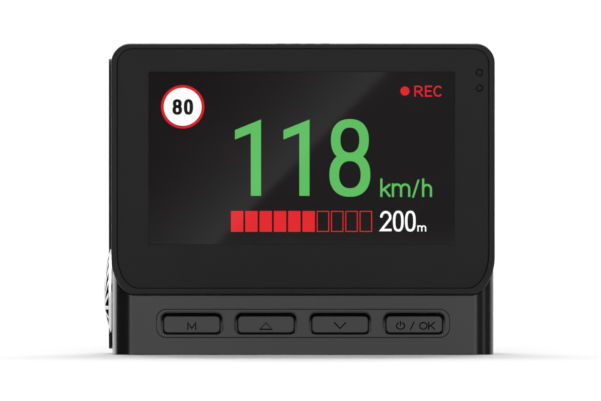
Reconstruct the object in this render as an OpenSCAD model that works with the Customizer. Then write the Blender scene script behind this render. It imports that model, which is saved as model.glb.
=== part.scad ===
/* [Front frame] */
// Border of the frame left and right of the display
side_border = 8.45; // [8.4:0.05:10]
// Border of the frame above the display
top_border = 6.08; // [6:0.02:8]
// Border of the frame below the display
foot_border = 10.92; // [10.9:0.02:13]
// Depth of the front frame, front to back
frame_t = 2.2; // [2:0.1:3]
// Rim of the frame left and right of the face plate
rim_side = 1.25; // [0.9:0.05:1.6]
// Rim of the frame above the face plate
rim_top = 0.95; // [0.7:0.05:1.5]
// Rim of the frame below the face plate
rim_bottom = 1.3; // [0.9:0.05:1.6]
// Radius of the frame's top corners
frame_top_r = 4.1; // [3.2:0.1:5]
// Width of the long curve at the frame's bottom corners
frame_foot_w = 5.2; // [4.4:0.1:7]
// Height of the long curve at the frame's bottom corners
frame_foot_h = 8.25; // [6:0.05:10]
// Width of the ledge that carries the face plate
ledge_w = 1.6; // [1:0.1:1.8]
// Thickness of that ledge
ledge_t = 0.7; // [0.5:0.05:0.8]

/* [Face plate and display] */
// Thickness of the face plate
plate_t = 1.2; // [1:0.05:1.3]
// Gap between the face plate and the frame's rim
plate_gap = 0.15; // [0.1:0.05:0.25]
// Radius of the face plate's top corners
plate_top_r = 3.2; // [2.5:0.1:4]
// Width of the face plate's bottom corner curve
plate_foot_w = 4.5; // [3.5:0.1:6]
// Height of the face plate's bottom corner curve
plate_foot_h = 7.6; // [5:0.1:9]
// Width of the display glass
screen_w = 66.4; // [60:0.1:67]
// Height of the display glass
screen_h = 37.4; // [33:0.1:38]
// Offset of the display to the right of the centre
screen_x = -0.26; // [-0.5:0.02:0.5]
// Thickness of the display glass
glass_t = 1.1; // [0.8:0.05:1.15]
// Thickness of the display cell
lcd_t = 1.4; // [1:0.1:1.5]
// Thickness of the backlight
backlight_t = 1.4; // [1:0.1:1.6]
// Wall of the metal tray that holds the display
tray_t = 0.5; // [0.4:0.05:0.6]
// Diameter of the two sensor holes in the face plate
sensor_hole_d = 1.65; // [1.3:0.05:2]
// Distance of the sensor holes from the right edge of the frame
sensor_edge = 3.35; // [3.2:0.05:3.6]
// Depth of the upper sensor hole below the frame's top edge
sensor_drop = 6.15; // [5.5:0.05:7]
// Distance between the two sensor holes
sensor_pitch = 3.4; // [3:0.1:4]

/* [Body] */
// Depth of the body behind the front frame
body_d = 35.8; // [35:0.1:44]
// Distance from the origin to the front of the frame
front_reach = 17; // [14:0.5:20]
// Wall thickness of the two housings
wall = 1.8; // [1.6:0.1:2]
// Depth of the front housing behind the frame
front_d = 17.8; // [17:0.1:19]
// How far the frame stands proud of the body all round
frame_lip = 0.3; // [0.1:0.05:0.4]
// Radius of the upright front corners of the base
base_r = 4.2; // [3:0.1:5]

/* [Lower panel and keys] */
// Height of the lower panel
base_h = 13.05; // [13:0.05:16]
// Backward tilt of the lower panel in degrees
panel_tilt = 15; // [12:0.5:16]
// How far the panel's top edge lies behind the frame's front
panel_set = 0.8; // [0.4:0.1:1.2]
// Distance of the button frame's ends from the sides of the front frame
insert_edge = 9.9; // [9:0.1:10.5]
// Height of the button frame along the panel
insert_h = 6.2; // [6:0.1:6.5]
// Corner radius of the button frame
insert_r = 2.1; // [1.5:0.1:2.6]
// Height of the keys' middle line up the panel
insert_rise = 7.04; // [6.9:0.02:7.2]
// Depth of the button frame
insert_t = 2.6; // [2.4:0.1:2.8]
// Bar of the button frame between two keys
key_bar = 2.68; // [2.6:0.02:3.4]
// Bar of the button frame outside the outer keys
end_bar = 0.89; // [0.7:0.01:1.2]
// Height of a key
key_h = 4; // [3.6:0.1:4.2]
// Corner radius of a key
key_r = 1.05; // [0.6:0.05:1.5]
// Gap round a key
key_gap = 0.46; // [0.3:0.02:0.5]
// Depth of a key's face below the button frame
key_recess = 0.9; // [0.5:0.1:1.2]
// Travel of a key
key_travel = 0.4; // [0.2:0.05:0.5]
// Diameter of a switch plunger
plunger_d = 1.8; // [1.4:0.1:2.2]

/* [Camera barrel] */
// Height of the barrel's axis, and radius of the body's lower rear edge
barrel_rise = 13.6; // [13.5:0.05:14]
// Diameter of the barrel
barrel_d = 22.8; // [22:0.1:23]
// Length of the barrel
barrel_len = 24.6; // [23:0.1:26]
// Wall of the barrel
barrel_wall = 1.2; // [1:0.1:1.5]
// Diameter of the lens nose
nose_d = 10; // [9:0.1:10.4]
// Reach of the lens nose from the barrel's axis
nose_reach = 13.9; // [13:0.1:14.2]
// Diameter of the lens tube
lens_d = 6.4; // [5.4:0.1:6.8]
// Diameter of the stub axle
axle_d = 6; // [5:0.1:7]

/* [Tilt knob] */
// Diameter of the knob
knob_d = 18.34; // [17.5:0.02:19]
// Diameter of the knob's dome
dome_d = 15.8; // [14:0.1:16.5]
// Height of the dome over the side cover
dome_h = 1.13; // [0.9:0.01:1.5]
// Number of slanted ribs on the dome
rib_n = 16; // [12:1:18]
// Width of a rib
rib_w = 1; // [0.8:0.05:1.1]
// Height of a rib
rib_h = 0.4; // [0.2:0.05:0.5]
// Slant of the ribs, as their distance from the centre
rib_slant = 3.2; // [2.5:0.1:3.3]
// Running clearance of the knob and of the stub axle, on the radius
run_gap = 0.08; // [0.05:0.01:0.1]
// How far the left side cover stands proud of the body
cover_t = 0.81; // [0.6:0.01:1]
// How far the side cover reaches in front of the knob's axis
cover_lead = 1.5; // [1:0.1:3]
// Height of the side cover's lower edge
cover_foot = 0.95; // [0.5:0.05:1.5]
// Depth of the side cover's upper edge below the frame's top edge
cover_drop = 3.65; // [3:0.05:6]

/* [Rear face] */
// Distance of the radome panel's ends from the sides of the body
radome_edge = 7.35; // [7.3:0.05:9]
// Height of the radome panel
radome_h = 27; // [25:0.5:27.5]
// Depth of the radome panel's middle below the frame's top edge
radome_drop = 22.45; // [22:0.05:22.7]
// Thickness of the radome panel
radome_t = 1.2; // [1:0.05:1.5]
// Depth of the radome panel's recess
radome_recess = 0.9; // [0.6:0.05:1]
// Distance of the laser lens's middle from the body's right side
laser_inset = 19.35; // [17.5:0.05:21]
// Width of the laser lens
laser_w = 13; // [11:0.5:14]
// Height of the laser lens
laser_h = 8; // [7:0.5:9]
// Place of the radar horn right of the centre
horn_x = -9; // [-10:0.5:-8]
// Width of the horn's mouth
horn_w = 30; // [24:0.5:31]
// Height of the horn's mouth
horn_h = 17; // [14:0.5:18]
// Distance of the speaker's middle from the body's right side
speaker_inset = 18.35; // [17.5:0.05:20]
// Height of the speaker's middle
speaker_rise = 20.5; // [20:0.1:21]
// Diameter of the speaker
speaker_d = 18; // [16:0.5:18.5]
// Width of the speaker grille
grille_w = 24; // [20:0.5:25]
// Height of the speaker grille
grille_h = 12; // [10:0.5:13]
// Number of slots in the speaker grille
slot_n = 9; // [7:1:11]
// Width of a slot
slot_w = 1.1; // [0.9:0.1:1.3]

/* [Boards and sockets] */
// Thickness of the boards
board_t = 1; // [0.8:0.1:1.2]
// Distance from the frame's seat to the main board
board_depth = 6.8; // [6.6:0.1:7.2]
// Depth of the memory card slot's middle below the frame's top edge
card_drop = 22.45; // [21.5:0.05:23.5]
// Height of the power socket's middle
socket_rise = 19.5; // [19.5:0.1:20]

/* [Top seat] */
// Distance between the two locating bores
bore_pitch = 26; // [24:0.5:28]
// Diameter of a locating bore
bore_d = 3.2; // [2.5:0.1:3.6]
// Depth of a locating bore
bore_depth = 3; // [2:0.1:3.2]
// Distance of the top seat's middle from the rear face
seat_back = 9; // [8.5:0.1:10]
// Number of contact pads
pad_n = 4; // [2:1:5]
// Distance between two contact pads
pad_pitch = 3.2; // [2.8:0.1:3.6]
// Diameter of a magnet
magnet_d = 8; // [6:0.5:9]

/* [Fasteners] */
// Shank diameter of the screws
screw_d = 1.8; // [1.6:0.1:2]
// Head diameter of the screws
head_d = 3.3; // [3:0.1:3.4]
// Clearance round a screw's shank and head
screw_gap = 0.1; // [0.05:0.05:0.15]

/* [Hidden] */
$fn = 64;
eps = 0.05;
reach = 60;
seat_gap = 0.1;
// front frame
frame_w = screen_w + 2 * side_border;
frame_h = screen_h + top_border + foot_border;
frame_foot = base_h;
frame_top = base_h + frame_h;
screen_z = frame_foot + foot_border + screen_h / 2;
notch_top = frame_foot + frame_foot_h;
// depths, from the front back
frame_front = -front_reach;
frame_seat = frame_front + frame_t;
plate_back = frame_seat - ledge_t;
plate_front = plate_back - plate_t;
glass_back = plate_front + glass_t;
lcd_back = glass_back + seat_gap + lcd_t;
backlight_back = lcd_back + seat_gap + backlight_t;
tray_back = backlight_back + seat_gap + tray_t;
inner_front = frame_seat + wall;
board_front = frame_seat + board_depth;
board_back = board_front + board_t;
split_y = frame_seat + front_d;
rear_y = frame_seat + body_d;
inner_rear = rear_y - wall;
// body
body_w = frame_w - 2 * frame_lip;
body_top = frame_top - frame_lip;
body_top_r = frame_top_r - frame_lip;
half_w = body_w / 2;
inner_w = half_w - wall;
inner_top = body_top - wall;
// lower panel
insert_w = frame_w - 2 * insert_edge;
key_w = (insert_w - 2 * end_bar - 3 * key_bar) / 4 - 2 * key_gap;
key_pitch = key_w + 2 * key_gap + key_bar;
foot_y = frame_front + panel_set - base_h * tan(panel_tilt);
panel_meet = (frame_seat - foot_y) / tan(panel_tilt);
key_back = insert_t + 0.3 + 0.8;
switch_front = key_back + key_travel + 0.6;
plunger_grip = 1.4;
plunger_len = switch_front - key_back + plunger_grip;
switch_t = plunger_grip + key_travel + 0.6;
key_board_y = switch_front + switch_t;
key_boss_x = insert_w / 2 + 3.2;
// barrel
axis_y = rear_y - barrel_rise;
axis_z = barrel_rise;
barrel_r = barrel_d / 2;
barrel_x0 = -inner_w + 1.25;
barrel_x1 = barrel_x0 + barrel_len;
knob_r = knob_d / 2;
bush_r = knob_r + run_gap;
wall_hole_r = knob_r + 1;
cover_face = -half_w - cover_t;
cover_top = frame_top - cover_drop;
dome_r = dome_d / 2;
dome_ball_r = (dome_r * dome_r + dome_h * dome_h) / (2 * dome_h);
dome_hub_r = rib_slant + rib_w + 0.2;
bracket_x = barrel_x1 + 0.8;
bracket_t = 2;
clip_x = bracket_x + bracket_t + 0.2;
window_top = barrel_rise + barrel_r + 0.2;
// boards
board_w = 2 * (inner_w - 0.45);
board_foot = base_h + 1.95;
board_top = inner_top - 0.45;
side_boss_x = inner_w - 1.95;
side_boss_z = frame_top - card_drop + 9.5;
low_boss_x = 28;
low_boss_z = screen_z - (screen_h / 2 + 1.6 + tray_t) - 3.2;
board_boss_r = 1.7;
board_holes = [
    [-side_boss_x, side_boss_z],
    [side_boss_x, side_boss_z],
    [-low_boss_x, low_boss_z],
    [low_boss_x, low_boss_z]
];
screw_r = screw_d / 2;
head_r = head_d / 2;
// housing screws
housing_screw_x = inner_w - 3.05;
housing_screw_zs = [axis_z + barrel_r + 3.6, inner_top - 2.55];
tube_r = head_r + screw_gap + 1.2;
screw_seat = split_y + 2;
housing_screw_len = 8;
board_screw_len = 4.2;
key_screw_len = 3.6;
// rear parts
radar_board_y = split_y - 1.6;
radar_board_back = radar_board_y + board_t;
radar_board_w = 34;
radar_board_h = 24;
spacer_x = radar_board_w / 2 - 1.6;
spacer_z = radar_board_h / 2 - 1.6;
spacer_r = 1.5;
radar_can_w = 26;
radar_can_h = 18;
radar_can_t = 3;
can_wall = 0.3;
guide_w = 12;
guide_h = 8;
guide_len = 5;
horn_wall = 0.8;
radome_w = body_w - 2 * radome_edge;
radome_rise = frame_top - radome_drop;
laser_x = half_w - laser_inset;
speaker_x = half_w - speaker_inset;
speaker_len = 6.4;
magnet_r = 5.4;
top_seat_y = rear_y - seat_back;
sensor_x = frame_w / 2 - sensor_edge;
pipe_r = 0.55;
sensor_zs = [frame_top - sensor_drop, frame_top - sensor_drop - sensor_pitch];
// parts on the main board
flex_w = 20;
flex_t = 0.15;
flex_tail = 5;
cap_r = 4;
cap_h = 15;
cap_lead = 2.5;
cap_x = horn_x + spacer_x + spacer_r + 0.4 + cap_r;
cap_pitch = 2 * cap_r + 0.8;
processor_x0 = bracket_x + 0.4;
processor_x1 = cap_x - cap_r - 1.6;
processor_h = 14;
processor_t = 2.4;
antenna_w = 12;
antenna_t = 4;
card_rise = frame_top - card_drop;
card_w = 11;
card_t = 0.7;
card_len = 15;
card_y = board_back + 0.45;
card_x = half_w - 0.35 - card_len;
usb_w = 9;
usb_t = 3.2;
usb_len = 7;
usb_y = board_back + seat_gap + usb_t / 2;

// An outline in X and Z, drawn from y0 back to y1
module along_y(y0, y1) {
    translate([0, y1, 0]) rotate([90, 0, 0]) linear_extrude(y1 - y0) children();
}

// An outline in Y and Z, drawn from x0 to x1
module along_x(x0, x1) {
    translate([x0, 0, 0]) rotate([90, 0, 90]) linear_extrude(x1 - x0) children();
}

module rod_y(x, z, r, y0, y1) {
    translate([x, y1, z]) rotate([90, 0, 0]) cylinder(r = r, h = y1 - y0);
}

// A rod on the barrel's axis
module axis_rod(r, x0, x1) {
    translate([x0, axis_y, axis_z]) rotate([0, 90, 0]) cylinder(r = r, h = x1 - x0);
}

// A rod along the lens's line of sight, from near to far off the axis
module sight_rod(r, near, far) {
    rod_y(lens_x(), axis_z, r, axis_y + near, axis_y + far);
}

function lens_x() = (barrel_x0 + barrel_x1) / 2;

module block(x0, x1, y0, y1, z0, z1) {
    translate([x0, y0, z0]) cube([x1 - x0, y1 - y0, z1 - z0]);
}

module rounded(w, h, r) {
    square([w - 2 * r, h], center = true);
    square([w, h - 2 * r], center = true);
    for (x = [-1, 1], y = [-1, 1])
        translate([x * (w / 2 - r), y * (h / 2 - r)]) circle(r);
}

function arc(x, y, a, b, from, to, steps) =
    [for (i = [0:steps]) let (t = from + (to - from) * i / steps) [x + a * cos(t), y + b * sin(t)]];

// Upright outline with round top corners and long elliptic bottom corners
function fascia(w, h, top_r, foot_w, foot_h) = concat(
    arc(w / 2 - foot_w, foot_h, foot_w, foot_h, -90, 0, 20),
    arc(w / 2 - top_r, h - top_r, top_r, top_r, 0, 90, 12),
    arc(-w / 2 + top_r, h - top_r, top_r, top_r, 90, 180, 12),
    arc(-w / 2 + foot_w, foot_h, foot_w, foot_h, 180, 270, 20)
);

module frame_outline(grow) {
    translate([0, frame_foot - grow])
        polygon(fascia(frame_w + 2 * grow, frame_h + 2 * grow, frame_top_r + grow,
            frame_foot_w + grow, frame_foot_h + grow));
}

// The face plate's outline, or with grow the frame's opening round it
module plate_outline(grow) {
    translate([0, frame_foot + rim_bottom + plate_gap - grow])
        polygon(fascia(frame_w - 2 * rim_side - 2 * plate_gap + 2 * grow,
            frame_h - rim_top - rim_bottom - 2 * plate_gap + 2 * grow,
            plate_top_r + grow, plate_foot_w + grow, plate_foot_h + grow));
}

module screen_outline(grow, r) {
    translate([screen_x, screen_z]) rounded(screen_w + 2 * grow, screen_h + 2 * grow, r);
}

// The lower panel's own frame: x across, y into the body, z up the panel
module at_panel() {
    translate([0, foot_y, 0]) rotate([-panel_tilt, 0, 0]) children();
}

function panel_y(z, inset) = foot_y + inset / cos(panel_tilt) + z * tan(panel_tilt);

// The body's side view, moved in by inset; the panel's space ends at shelf
function side_view(inset, shelf) = let (front = frame_seat + inset, top = body_top - inset) [
    [rear_y - inset, inset], [panel_y(inset, inset), inset],
    [panel_y(shelf, inset), shelf], [front, shelf], [front, top], [rear_y - inset, top]
];

// What rounding takes off an edge that runs along Y, at the body's top corners
module top_corner_waste(w, top, r) {
    for (x = [-1, 1]) difference() {
        translate([x * w - r, -reach, top - r]) cube([2 * r, 2 * reach, r + 1]);
        rod_y(x * (w - r), top - r, r, -reach - 1, reach + 1);
    }
}

// The same at the base's front corners, which lean back with the lower panel
module base_corner_waste(w, inset, r) {
    intersection() {
        at_panel() for (x = [-1, 1]) difference() {
            translate([x * w - r, inset - 4, -8]) cube([2 * r, r + 4, notch_top + 16]);
            translate([x * (w - r), inset + r, -9]) cylinder(r = r, h = notch_top + 18);
        }
        block(-reach, reach, -reach, reach, -1, notch_top);
    }
}

module body_solid(inset, shelf) {
    w = half_w - inset;
    difference() {
        along_x(-w, w) polygon(side_view(inset, shelf));
        top_corner_waste(w, body_top - inset, max(body_top_r - inset, 0.4));
        base_corner_waste(w, inset, base_r - inset);
        // round lower rear edge, on the barrel's axis
        difference() {
            block(-reach, reach, axis_y, rear_y + 1, -1, axis_z);
            axis_rod(barrel_rise - inset, -reach - 1, reach + 1);
        }
    }
}

module cavity() {
    body_solid(wall, frame_foot - wall);
}

module button_opening(grow, y0, y1) {
    at_panel() translate([0, 0, insert_rise])
        along_y(y0, y1) rounded(insert_w + 2 * grow, insert_h + 2 * grow, insert_r + grow);
}

function key_x(i) = (i - 1.5) * key_pitch;

module at_key(i) {
    at_panel() translate([key_x(i), 0, insert_rise]) children();
}

module key_boss(x) {
    at_panel() difference() {
        rod_y(x, insert_rise, 1.9, wall - eps, key_board_y);
        rod_y(x, insert_rise, screw_r + screw_gap / 2, key_board_y - 3, key_board_y + 1);
    }
}

module board_boss(p) {
    difference() {
        rod_y(p[0], p[1], board_boss_r, inner_front - eps, board_front);
        rod_y(p[0], p[1], screw_r + screw_gap / 2, board_front - 3.6, board_front + 1);
    }
}

// Boss on the side wall that takes a housing screw from behind
module wall_boss(side, z) {
    difference() {
        union() {
            rod_y(side * housing_screw_x, z, 2.2, split_y - 8, split_y);
            translate([side > 0 ? housing_screw_x : -inner_w - eps, split_y - 8, z - 1.1])
                cube([inner_w - housing_screw_x + eps, 8, 2.2]);
        }
        rod_y(side * housing_screw_x, z, screw_r + screw_gap / 2, split_y - 7, split_y + 1);
    }
}

module front_housing() color("dimgray") {
    difference() {
        intersection() {
            body_solid(0, panel_meet);
            block(-reach, reach, -reach, split_y, -1, reach * 2);
        }
        cavity();
        along_y(frame_front - 6, frame_seat) frame_outline(seat_gap);
        along_y(frame_seat - 1, inner_front + 1) screen_outline(1.6 + tray_t + 0.2, 0.6);
        for (z = sensor_zs) rod_y(sensor_x, z, pipe_r + 0.1, frame_seat - 1, inner_front + 1);
        button_opening(seat_gap, -2, wall + 1);
        axis_rod(wall_hole_r, -half_w - 1, -inner_w + 1);
        block(inner_w - 1, half_w + 1, card_y - 0.4, card_y + card_t + 0.4,
            card_rise - card_w / 2 - 0.7, card_rise + card_w / 2 + 0.7);
        translate([inner_w - 1, usb_y, socket_rise])
            along_x(0, wall + 2) rounded(usb_t + 0.5, usb_w + 0.5, usb_t / 2);
    }
    for (p = board_holes) board_boss(p);
    for (x = [-key_boss_x, key_boss_x]) key_boss(x);
    for (side = [-1, 1], z = housing_screw_zs) wall_boss(side, z);
}

module rear_housing() color("dimgray") {
    difference() {
        union() {
            difference() {
                intersection() {
                    body_solid(0, panel_meet);
                    block(-reach, reach, split_y, reach, -1, reach * 2);
                }
                cavity();
            }
            for (side = [-1, 1], z = housing_screw_zs)
                rod_y(side * housing_screw_x, z, tube_r, split_y, inner_rear + eps);
            for (x = [-0.5, 0.5])
                translate([x * bore_pitch, top_seat_y, inner_top - bore_depth + 0.6])
                    cylinder(r = bore_d / 2 + 1.4, h = bore_depth - 0.6 + eps);
        }
        for (side = [-1, 1], z = housing_screw_zs) {
            rod_y(side * housing_screw_x, z, screw_r + screw_gap, split_y - 1, rear_y + 1);
            rod_y(side * housing_screw_x, z, head_r + screw_gap, screw_seat, rear_y + 1);
        }
        // barrel window, open through the floor, and the hole for the knob
        block(barrel_x0 + 0.8, barrel_x1 - 0.8, axis_y + 2, rear_y + 1, -1, window_top);
        axis_rod(wall_hole_r, -half_w - 1, -inner_w + 1);
        // radome panel, laser lens and speaker
        translate([0, 0, radome_rise])
            along_y(rear_y - radome_recess, rear_y + 1) rounded(radome_w, radome_h, 4);
        laser_pill(0.5, inner_rear - 1, rear_y + 1);
        translate([speaker_x, 0, speaker_rise])
            along_y(rear_y - 1, rear_y + 1) rounded(grille_w, grille_h, 3);
        translate([speaker_x, 0, speaker_rise])
            along_y(inner_rear - 1, rear_y) rounded(grille_w - 2, grille_h - 2, 2);
        // top seat
        for (x = [-0.5, 0.5])
            translate([x * bore_pitch, top_seat_y, body_top - bore_depth])
                cylinder(r = bore_d / 2, h = bore_depth + 1);
        for (i = [0:pad_n - 1]) translate([pad_x(i), top_seat_y, body_top - 0.6])
            linear_extrude(2) rounded(2.1, 5.1, 0.6);
    }
}

function pad_x(i) = (i - (pad_n - 1) / 2) * pad_pitch;

module laser_pill(inset, y0, y1) {
    translate([laser_x, 0, radome_rise])
        along_y(y0, y1) rounded(laser_w - 2 * inset, laser_h - 2 * inset, laser_h / 2 - inset - eps);
}

module front_frame() color("#2c2c2c") difference() {
    along_y(frame_front, frame_seat) frame_outline(0);
    along_y(frame_front - 1, plate_back) plate_outline(plate_gap);
    along_y(plate_back - 1, frame_seat + 1) plate_outline(-ledge_w);
    for (z = sensor_zs) rod_y(sensor_x, z, pipe_r + 0.1, plate_back - 1, frame_seat + 1);
}

module face_plate() color("#272727") difference() {
    along_y(plate_front, plate_back) plate_outline(0);
    along_y(plate_front - 1, plate_back + 1) screen_outline(seat_gap, 0.4);
    for (z = sensor_zs) rod_y(sensor_x, z, sensor_hole_d / 2, plate_front - 1, plate_back + 1);
}

module display_glass() color("#221e1f") along_y(plate_front, glass_back) screen_outline(0, 0.3);

module lcd_panel() color("#3a3c40")
    along_y(glass_back + seat_gap, lcd_back) screen_outline(1.2, 0.4);

module backlight() color("white")
    along_y(lcd_back + seat_gap, backlight_back) screen_outline(1.4, 0.4);

// Metal pan behind the display, with a lug at each side behind the housing's wall
module display_tray() color("silver") {
    difference() {
        along_y(lcd_back - 0.9, tray_back) screen_outline(1.6 + tray_t, 0.5);
        along_y(lcd_back - 2, backlight_back + seat_gap) screen_outline(1.6, 0.4);
    }
    for (side = [-1, 1])
        translate([screen_x + side * (screen_w / 2 + 1.6 + tray_t + 0.9), 0, screen_z])
            along_y(inner_front + seat_gap, tray_back) square([1.8 + 2 * eps, 18], center = true);
}

// Flat cable from the display's lower edge to the main board
module display_flex() color("#b06a28") {
    z = screen_z - screen_h / 2 - 1.6 - tray_t - 0.45;
    half = flex_w / 2;
    block(-half, half, inner_front + 0.2, board_front - flex_t, z, z + flex_t);
    block(-half, half, board_front - 2 * flex_t, board_front - flex_t, z, z + flex_tail);
}

module light_pipe(z) rod_y(sensor_x, z, pipe_r, plate_front + 0.25, board_front - 0.1);

module brightness_sensor() color("#4a4a4e") light_pipe(sensor_zs[0]);
module remote_receiver() color("#4a4a4e") light_pipe(sensor_zs[1]);

// Pill-shaped insert in the lower panel, with one pocket a key and a flange behind the wall
module button_frame() color("#474747") difference() {
    union() {
        button_opening(0, 0, insert_t);
        button_opening(1.1, wall + 0.05, insert_t);
    }
    for (i = [0:3]) at_key(i) {
        along_y(-1, insert_t + 1)
            rounded(key_w + 2 * key_gap, key_h + 2 * key_gap, key_r + key_gap);
        along_y(-1, 0.2)
            rounded(key_w + 2 * key_gap + 0.3, key_h + 2 * key_gap + 0.3, key_r + key_gap + 0.15);
    }
}

// Key cap with a flange that keeps it in the button frame
module key(i) color("#494949") at_key(i) {
    along_y(key_recess, key_back) rounded(key_w, key_h, key_r);
    along_y(key_back - 0.8, key_back) rounded(key_w + 2.2, key_h + 1.9, key_r);
}

module mode_key() key(0);
module up_key() key(1);
module down_key() key(2);
module power_key() key(3);

module plunger(i) color("black") at_key(i)
    rod_y(0, 0, plunger_d / 2, key_back, key_back + plunger_len);

module mode_plunger() plunger(0);
module up_plunger() plunger(1);
module down_plunger() plunger(2);
module power_plunger() plunger(3);

module key_switches() color("silver") for (i = [0:3]) at_key(i) difference() {
    along_y(switch_front, key_board_y) rounded(5.2, 5.2, 0.5);
    rod_y(0, 0, plunger_d / 2 + run_gap, switch_front - 1, key_board_y - 0.4);
}

module key_board() color("darkgreen") at_panel() translate([0, 0, insert_rise]) difference() {
    along_y(key_board_y, key_board_y + board_t) rounded(2 * key_boss_x + 4.4, 5.4, 1);
    for (x = [-key_boss_x, key_boss_x])
        rod_y(x, 0, screw_r + screw_gap, key_board_y - 1, key_board_y + board_t + 1);
}

// Pan-head screw driven towards -Y, with its head's underside at y
module screw(x, z, y, len) difference() {
    union() {
        rod_y(x, z, screw_r, y - len, y + eps);
        rod_y(x, z, head_r, y, y + 1.1);
    }
    for (a = [0, 90]) translate([x, y + 0.6, z]) rotate([0, a, 0])
        translate([-0.95, 0, -0.22]) cube([1.9, 1, 0.44]);
}

module key_board_screws() color("silver") at_panel()
    for (x = [-key_boss_x, key_boss_x]) screw(x, insert_rise, key_board_y + board_t, key_screw_len);

module main_board_screws() color("silver")
    for (p = board_holes) screw(p[0], p[1], board_back, board_screw_len);

module housing_screws() color("silver") for (side = [-1, 1], z = housing_screw_zs)
    screw(side * housing_screw_x, z, screw_seat, housing_screw_len);

module main_board() color("darkgreen") difference() {
    translate([0, 0, (board_foot + board_top) / 2])
        along_y(board_front, board_back) rounded(board_w, board_top - board_foot, 1.5);
    for (p = board_holes)
        rod_y(p[0], p[1], screw_r + screw_gap, board_front - 1, board_back + 1);
}

module processor_shield() color("lightgray") difference() {
    foot = board_foot + 2;
    block(processor_x0, processor_x1, board_back, board_back + processor_t, foot, foot + processor_h);
    block(processor_x0 + can_wall, processor_x1 - can_wall, board_back - 1,
        board_back + processor_t - can_wall, foot + can_wall, foot + processor_h - can_wall);
}

module supercapacitors() color("#26303c") for (i = [0, 1])
    translate([cap_x + i * cap_pitch, board_back + cap_r + 0.05, board_foot + 8]) {
        cylinder(r = cap_r, h = cap_h);
        for (s = [-1.25, 1.25])
            translate([s, 0, -cap_lead]) cylinder(r = 0.3, h = cap_lead + eps, $fn = 16);
    }

module gps_antenna() color("#c9a36b") {
    x = -inner_w + 1.05;
    z = card_rise - 5;
    block(x, x + antenna_w, board_back, board_back + antenna_t, z, z + antenna_w);
    rod_y(x + antenna_w / 2, z + antenna_w / 2, 1,
        board_back + antenna_t - eps, board_back + antenna_t + 0.4);
}

// Sheet-metal holder on the board that the memory card slides into
module card_socket() color("silver") difference() {
    block(card_x - 1, inner_w - 0.25, board_back, card_y + card_t + 0.45,
        card_rise - card_w / 2 - 1, card_rise + card_w / 2 + 1);
    block(card_x - 0.3, inner_w + 1, card_y - 0.1, card_y + card_t + 0.1,
        card_rise - card_w / 2 - 0.15, card_rise + card_w / 2 + 0.15);
    block(card_x + 3, card_x + 9, card_y, card_y + 3, card_rise - 3, card_rise + 3);
}

module memory_card() color("#1d1d20") difference() {
    block(card_x, card_x + card_len, card_y, card_y + card_t,
        card_rise - card_w / 2, card_rise + card_w / 2);
    // stepped edge at the inner end
    block(card_x - 1, card_x + 6.2, card_y - 1, card_y + 2,
        card_rise + card_w / 2 - 1.3, card_rise + card_w);
}

// Round-ended metal shell with its tongue
module power_socket() color("silver") translate([0, usb_y, socket_rise]) {
    difference() {
        along_x(half_w - 0.4 - usb_len, half_w - 0.4) rounded(usb_t, usb_w, usb_t / 2 - eps);
        along_x(half_w + 0.6 - usb_len, half_w + 1)
            rounded(usb_t - 0.6, usb_w - 0.6, usb_t / 2 - 0.3 - eps);
    }
    block(half_w + 0.6 - usb_len - eps, half_w - 1, -0.35, 0.35, -3.3, 3.3);
}

module radome_panel() color("#101012") difference() {
    translate([0, 0, radome_rise]) along_y(rear_y - radome_recess,
        rear_y - radome_recess + radome_t) rounded(radome_w - 0.3, radome_h - 0.3, 3.85);
    laser_pill(-0.1, rear_y - 3, rear_y + 3);
}

module laser_lens() color("#3a0d12") {
    laser_pill(0, rear_y - radome_recess, rear_y - radome_recess + radome_t);
    laser_pill(0.6, rear_y - radome_recess - 0.8, rear_y - radome_recess + eps);
}

// Light hood and detector behind the laser lens
module laser_sensor() color("#202024") {
    difference() {
        laser_pill(0, inner_rear - 7, inner_rear - 0.3);
        laser_pill(1, inner_rear - 6, inner_rear + 1);
    }
    block(laser_x - 4, laser_x + 4, inner_rear - 9, inner_rear - 7 + eps,
        radome_rise - 3.5, radome_rise + 3.5);
}

module horn_section(w, h, y, t) translate([horn_x, 0, radome_rise])
    along_y(y, y + t) square([w, h], center = true);

// Flared microwave horn on its waveguide block
module radar_horn() color("#b9b4a2") {
    throat = radar_board_back + guide_len;
    difference() {
        union() {
            hull() {
                horn_section(guide_w, guide_h, throat - 0.1, 0.1);
                horn_section(horn_w, horn_h, inner_rear - 0.4, 0.1);
            }
            horn_section(guide_w, guide_h, radar_board_back, guide_len);
            horn_section(guide_w + 6, guide_h + 4, radar_board_back, 1.2);
        }
        hull() {
            horn_section(guide_w - 2 * horn_wall, guide_h - 2 * horn_wall, throat - 0.2, 0.1);
            horn_section(horn_w - 2 * horn_wall, horn_h - 2 * horn_wall, inner_rear - 0.3 + eps, 0.1);
        }
        horn_section(guide_w - 2.5, guide_h - 2.8, radar_board_back + 1, guide_len);
    }
}

module radar_board() color("darkgreen") difference() {
    translate([horn_x, 0, radome_rise])
        along_y(radar_board_y, radar_board_back) rounded(radar_board_w, radar_board_h, 1.5);
    for (x = [-spacer_x, spacer_x], z = [-spacer_z, spacer_z])
        rod_y(horn_x + x, radome_rise + z, screw_r + screw_gap, radar_board_y - 1, radar_board_back + 1);
}

module radar_shield() color("lightgray") difference() {
    w = radar_can_w / 2;
    h = radar_can_h / 2;
    block(horn_x - w, horn_x + w, radar_board_y - radar_can_t, radar_board_y,
        radome_rise - h, radome_rise + h);
    block(horn_x - w + can_wall, horn_x + w - can_wall, radar_board_y - radar_can_t + can_wall,
        radar_board_y + 1, radome_rise - h + can_wall, radome_rise + h - can_wall);
}

module radar_board_spacers() color("goldenrod")
    for (x = [-spacer_x, spacer_x], z = [-spacer_z, spacer_z])
        rod_y(horn_x + x, radome_rise + z, spacer_r, board_back, radar_board_y);

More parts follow.
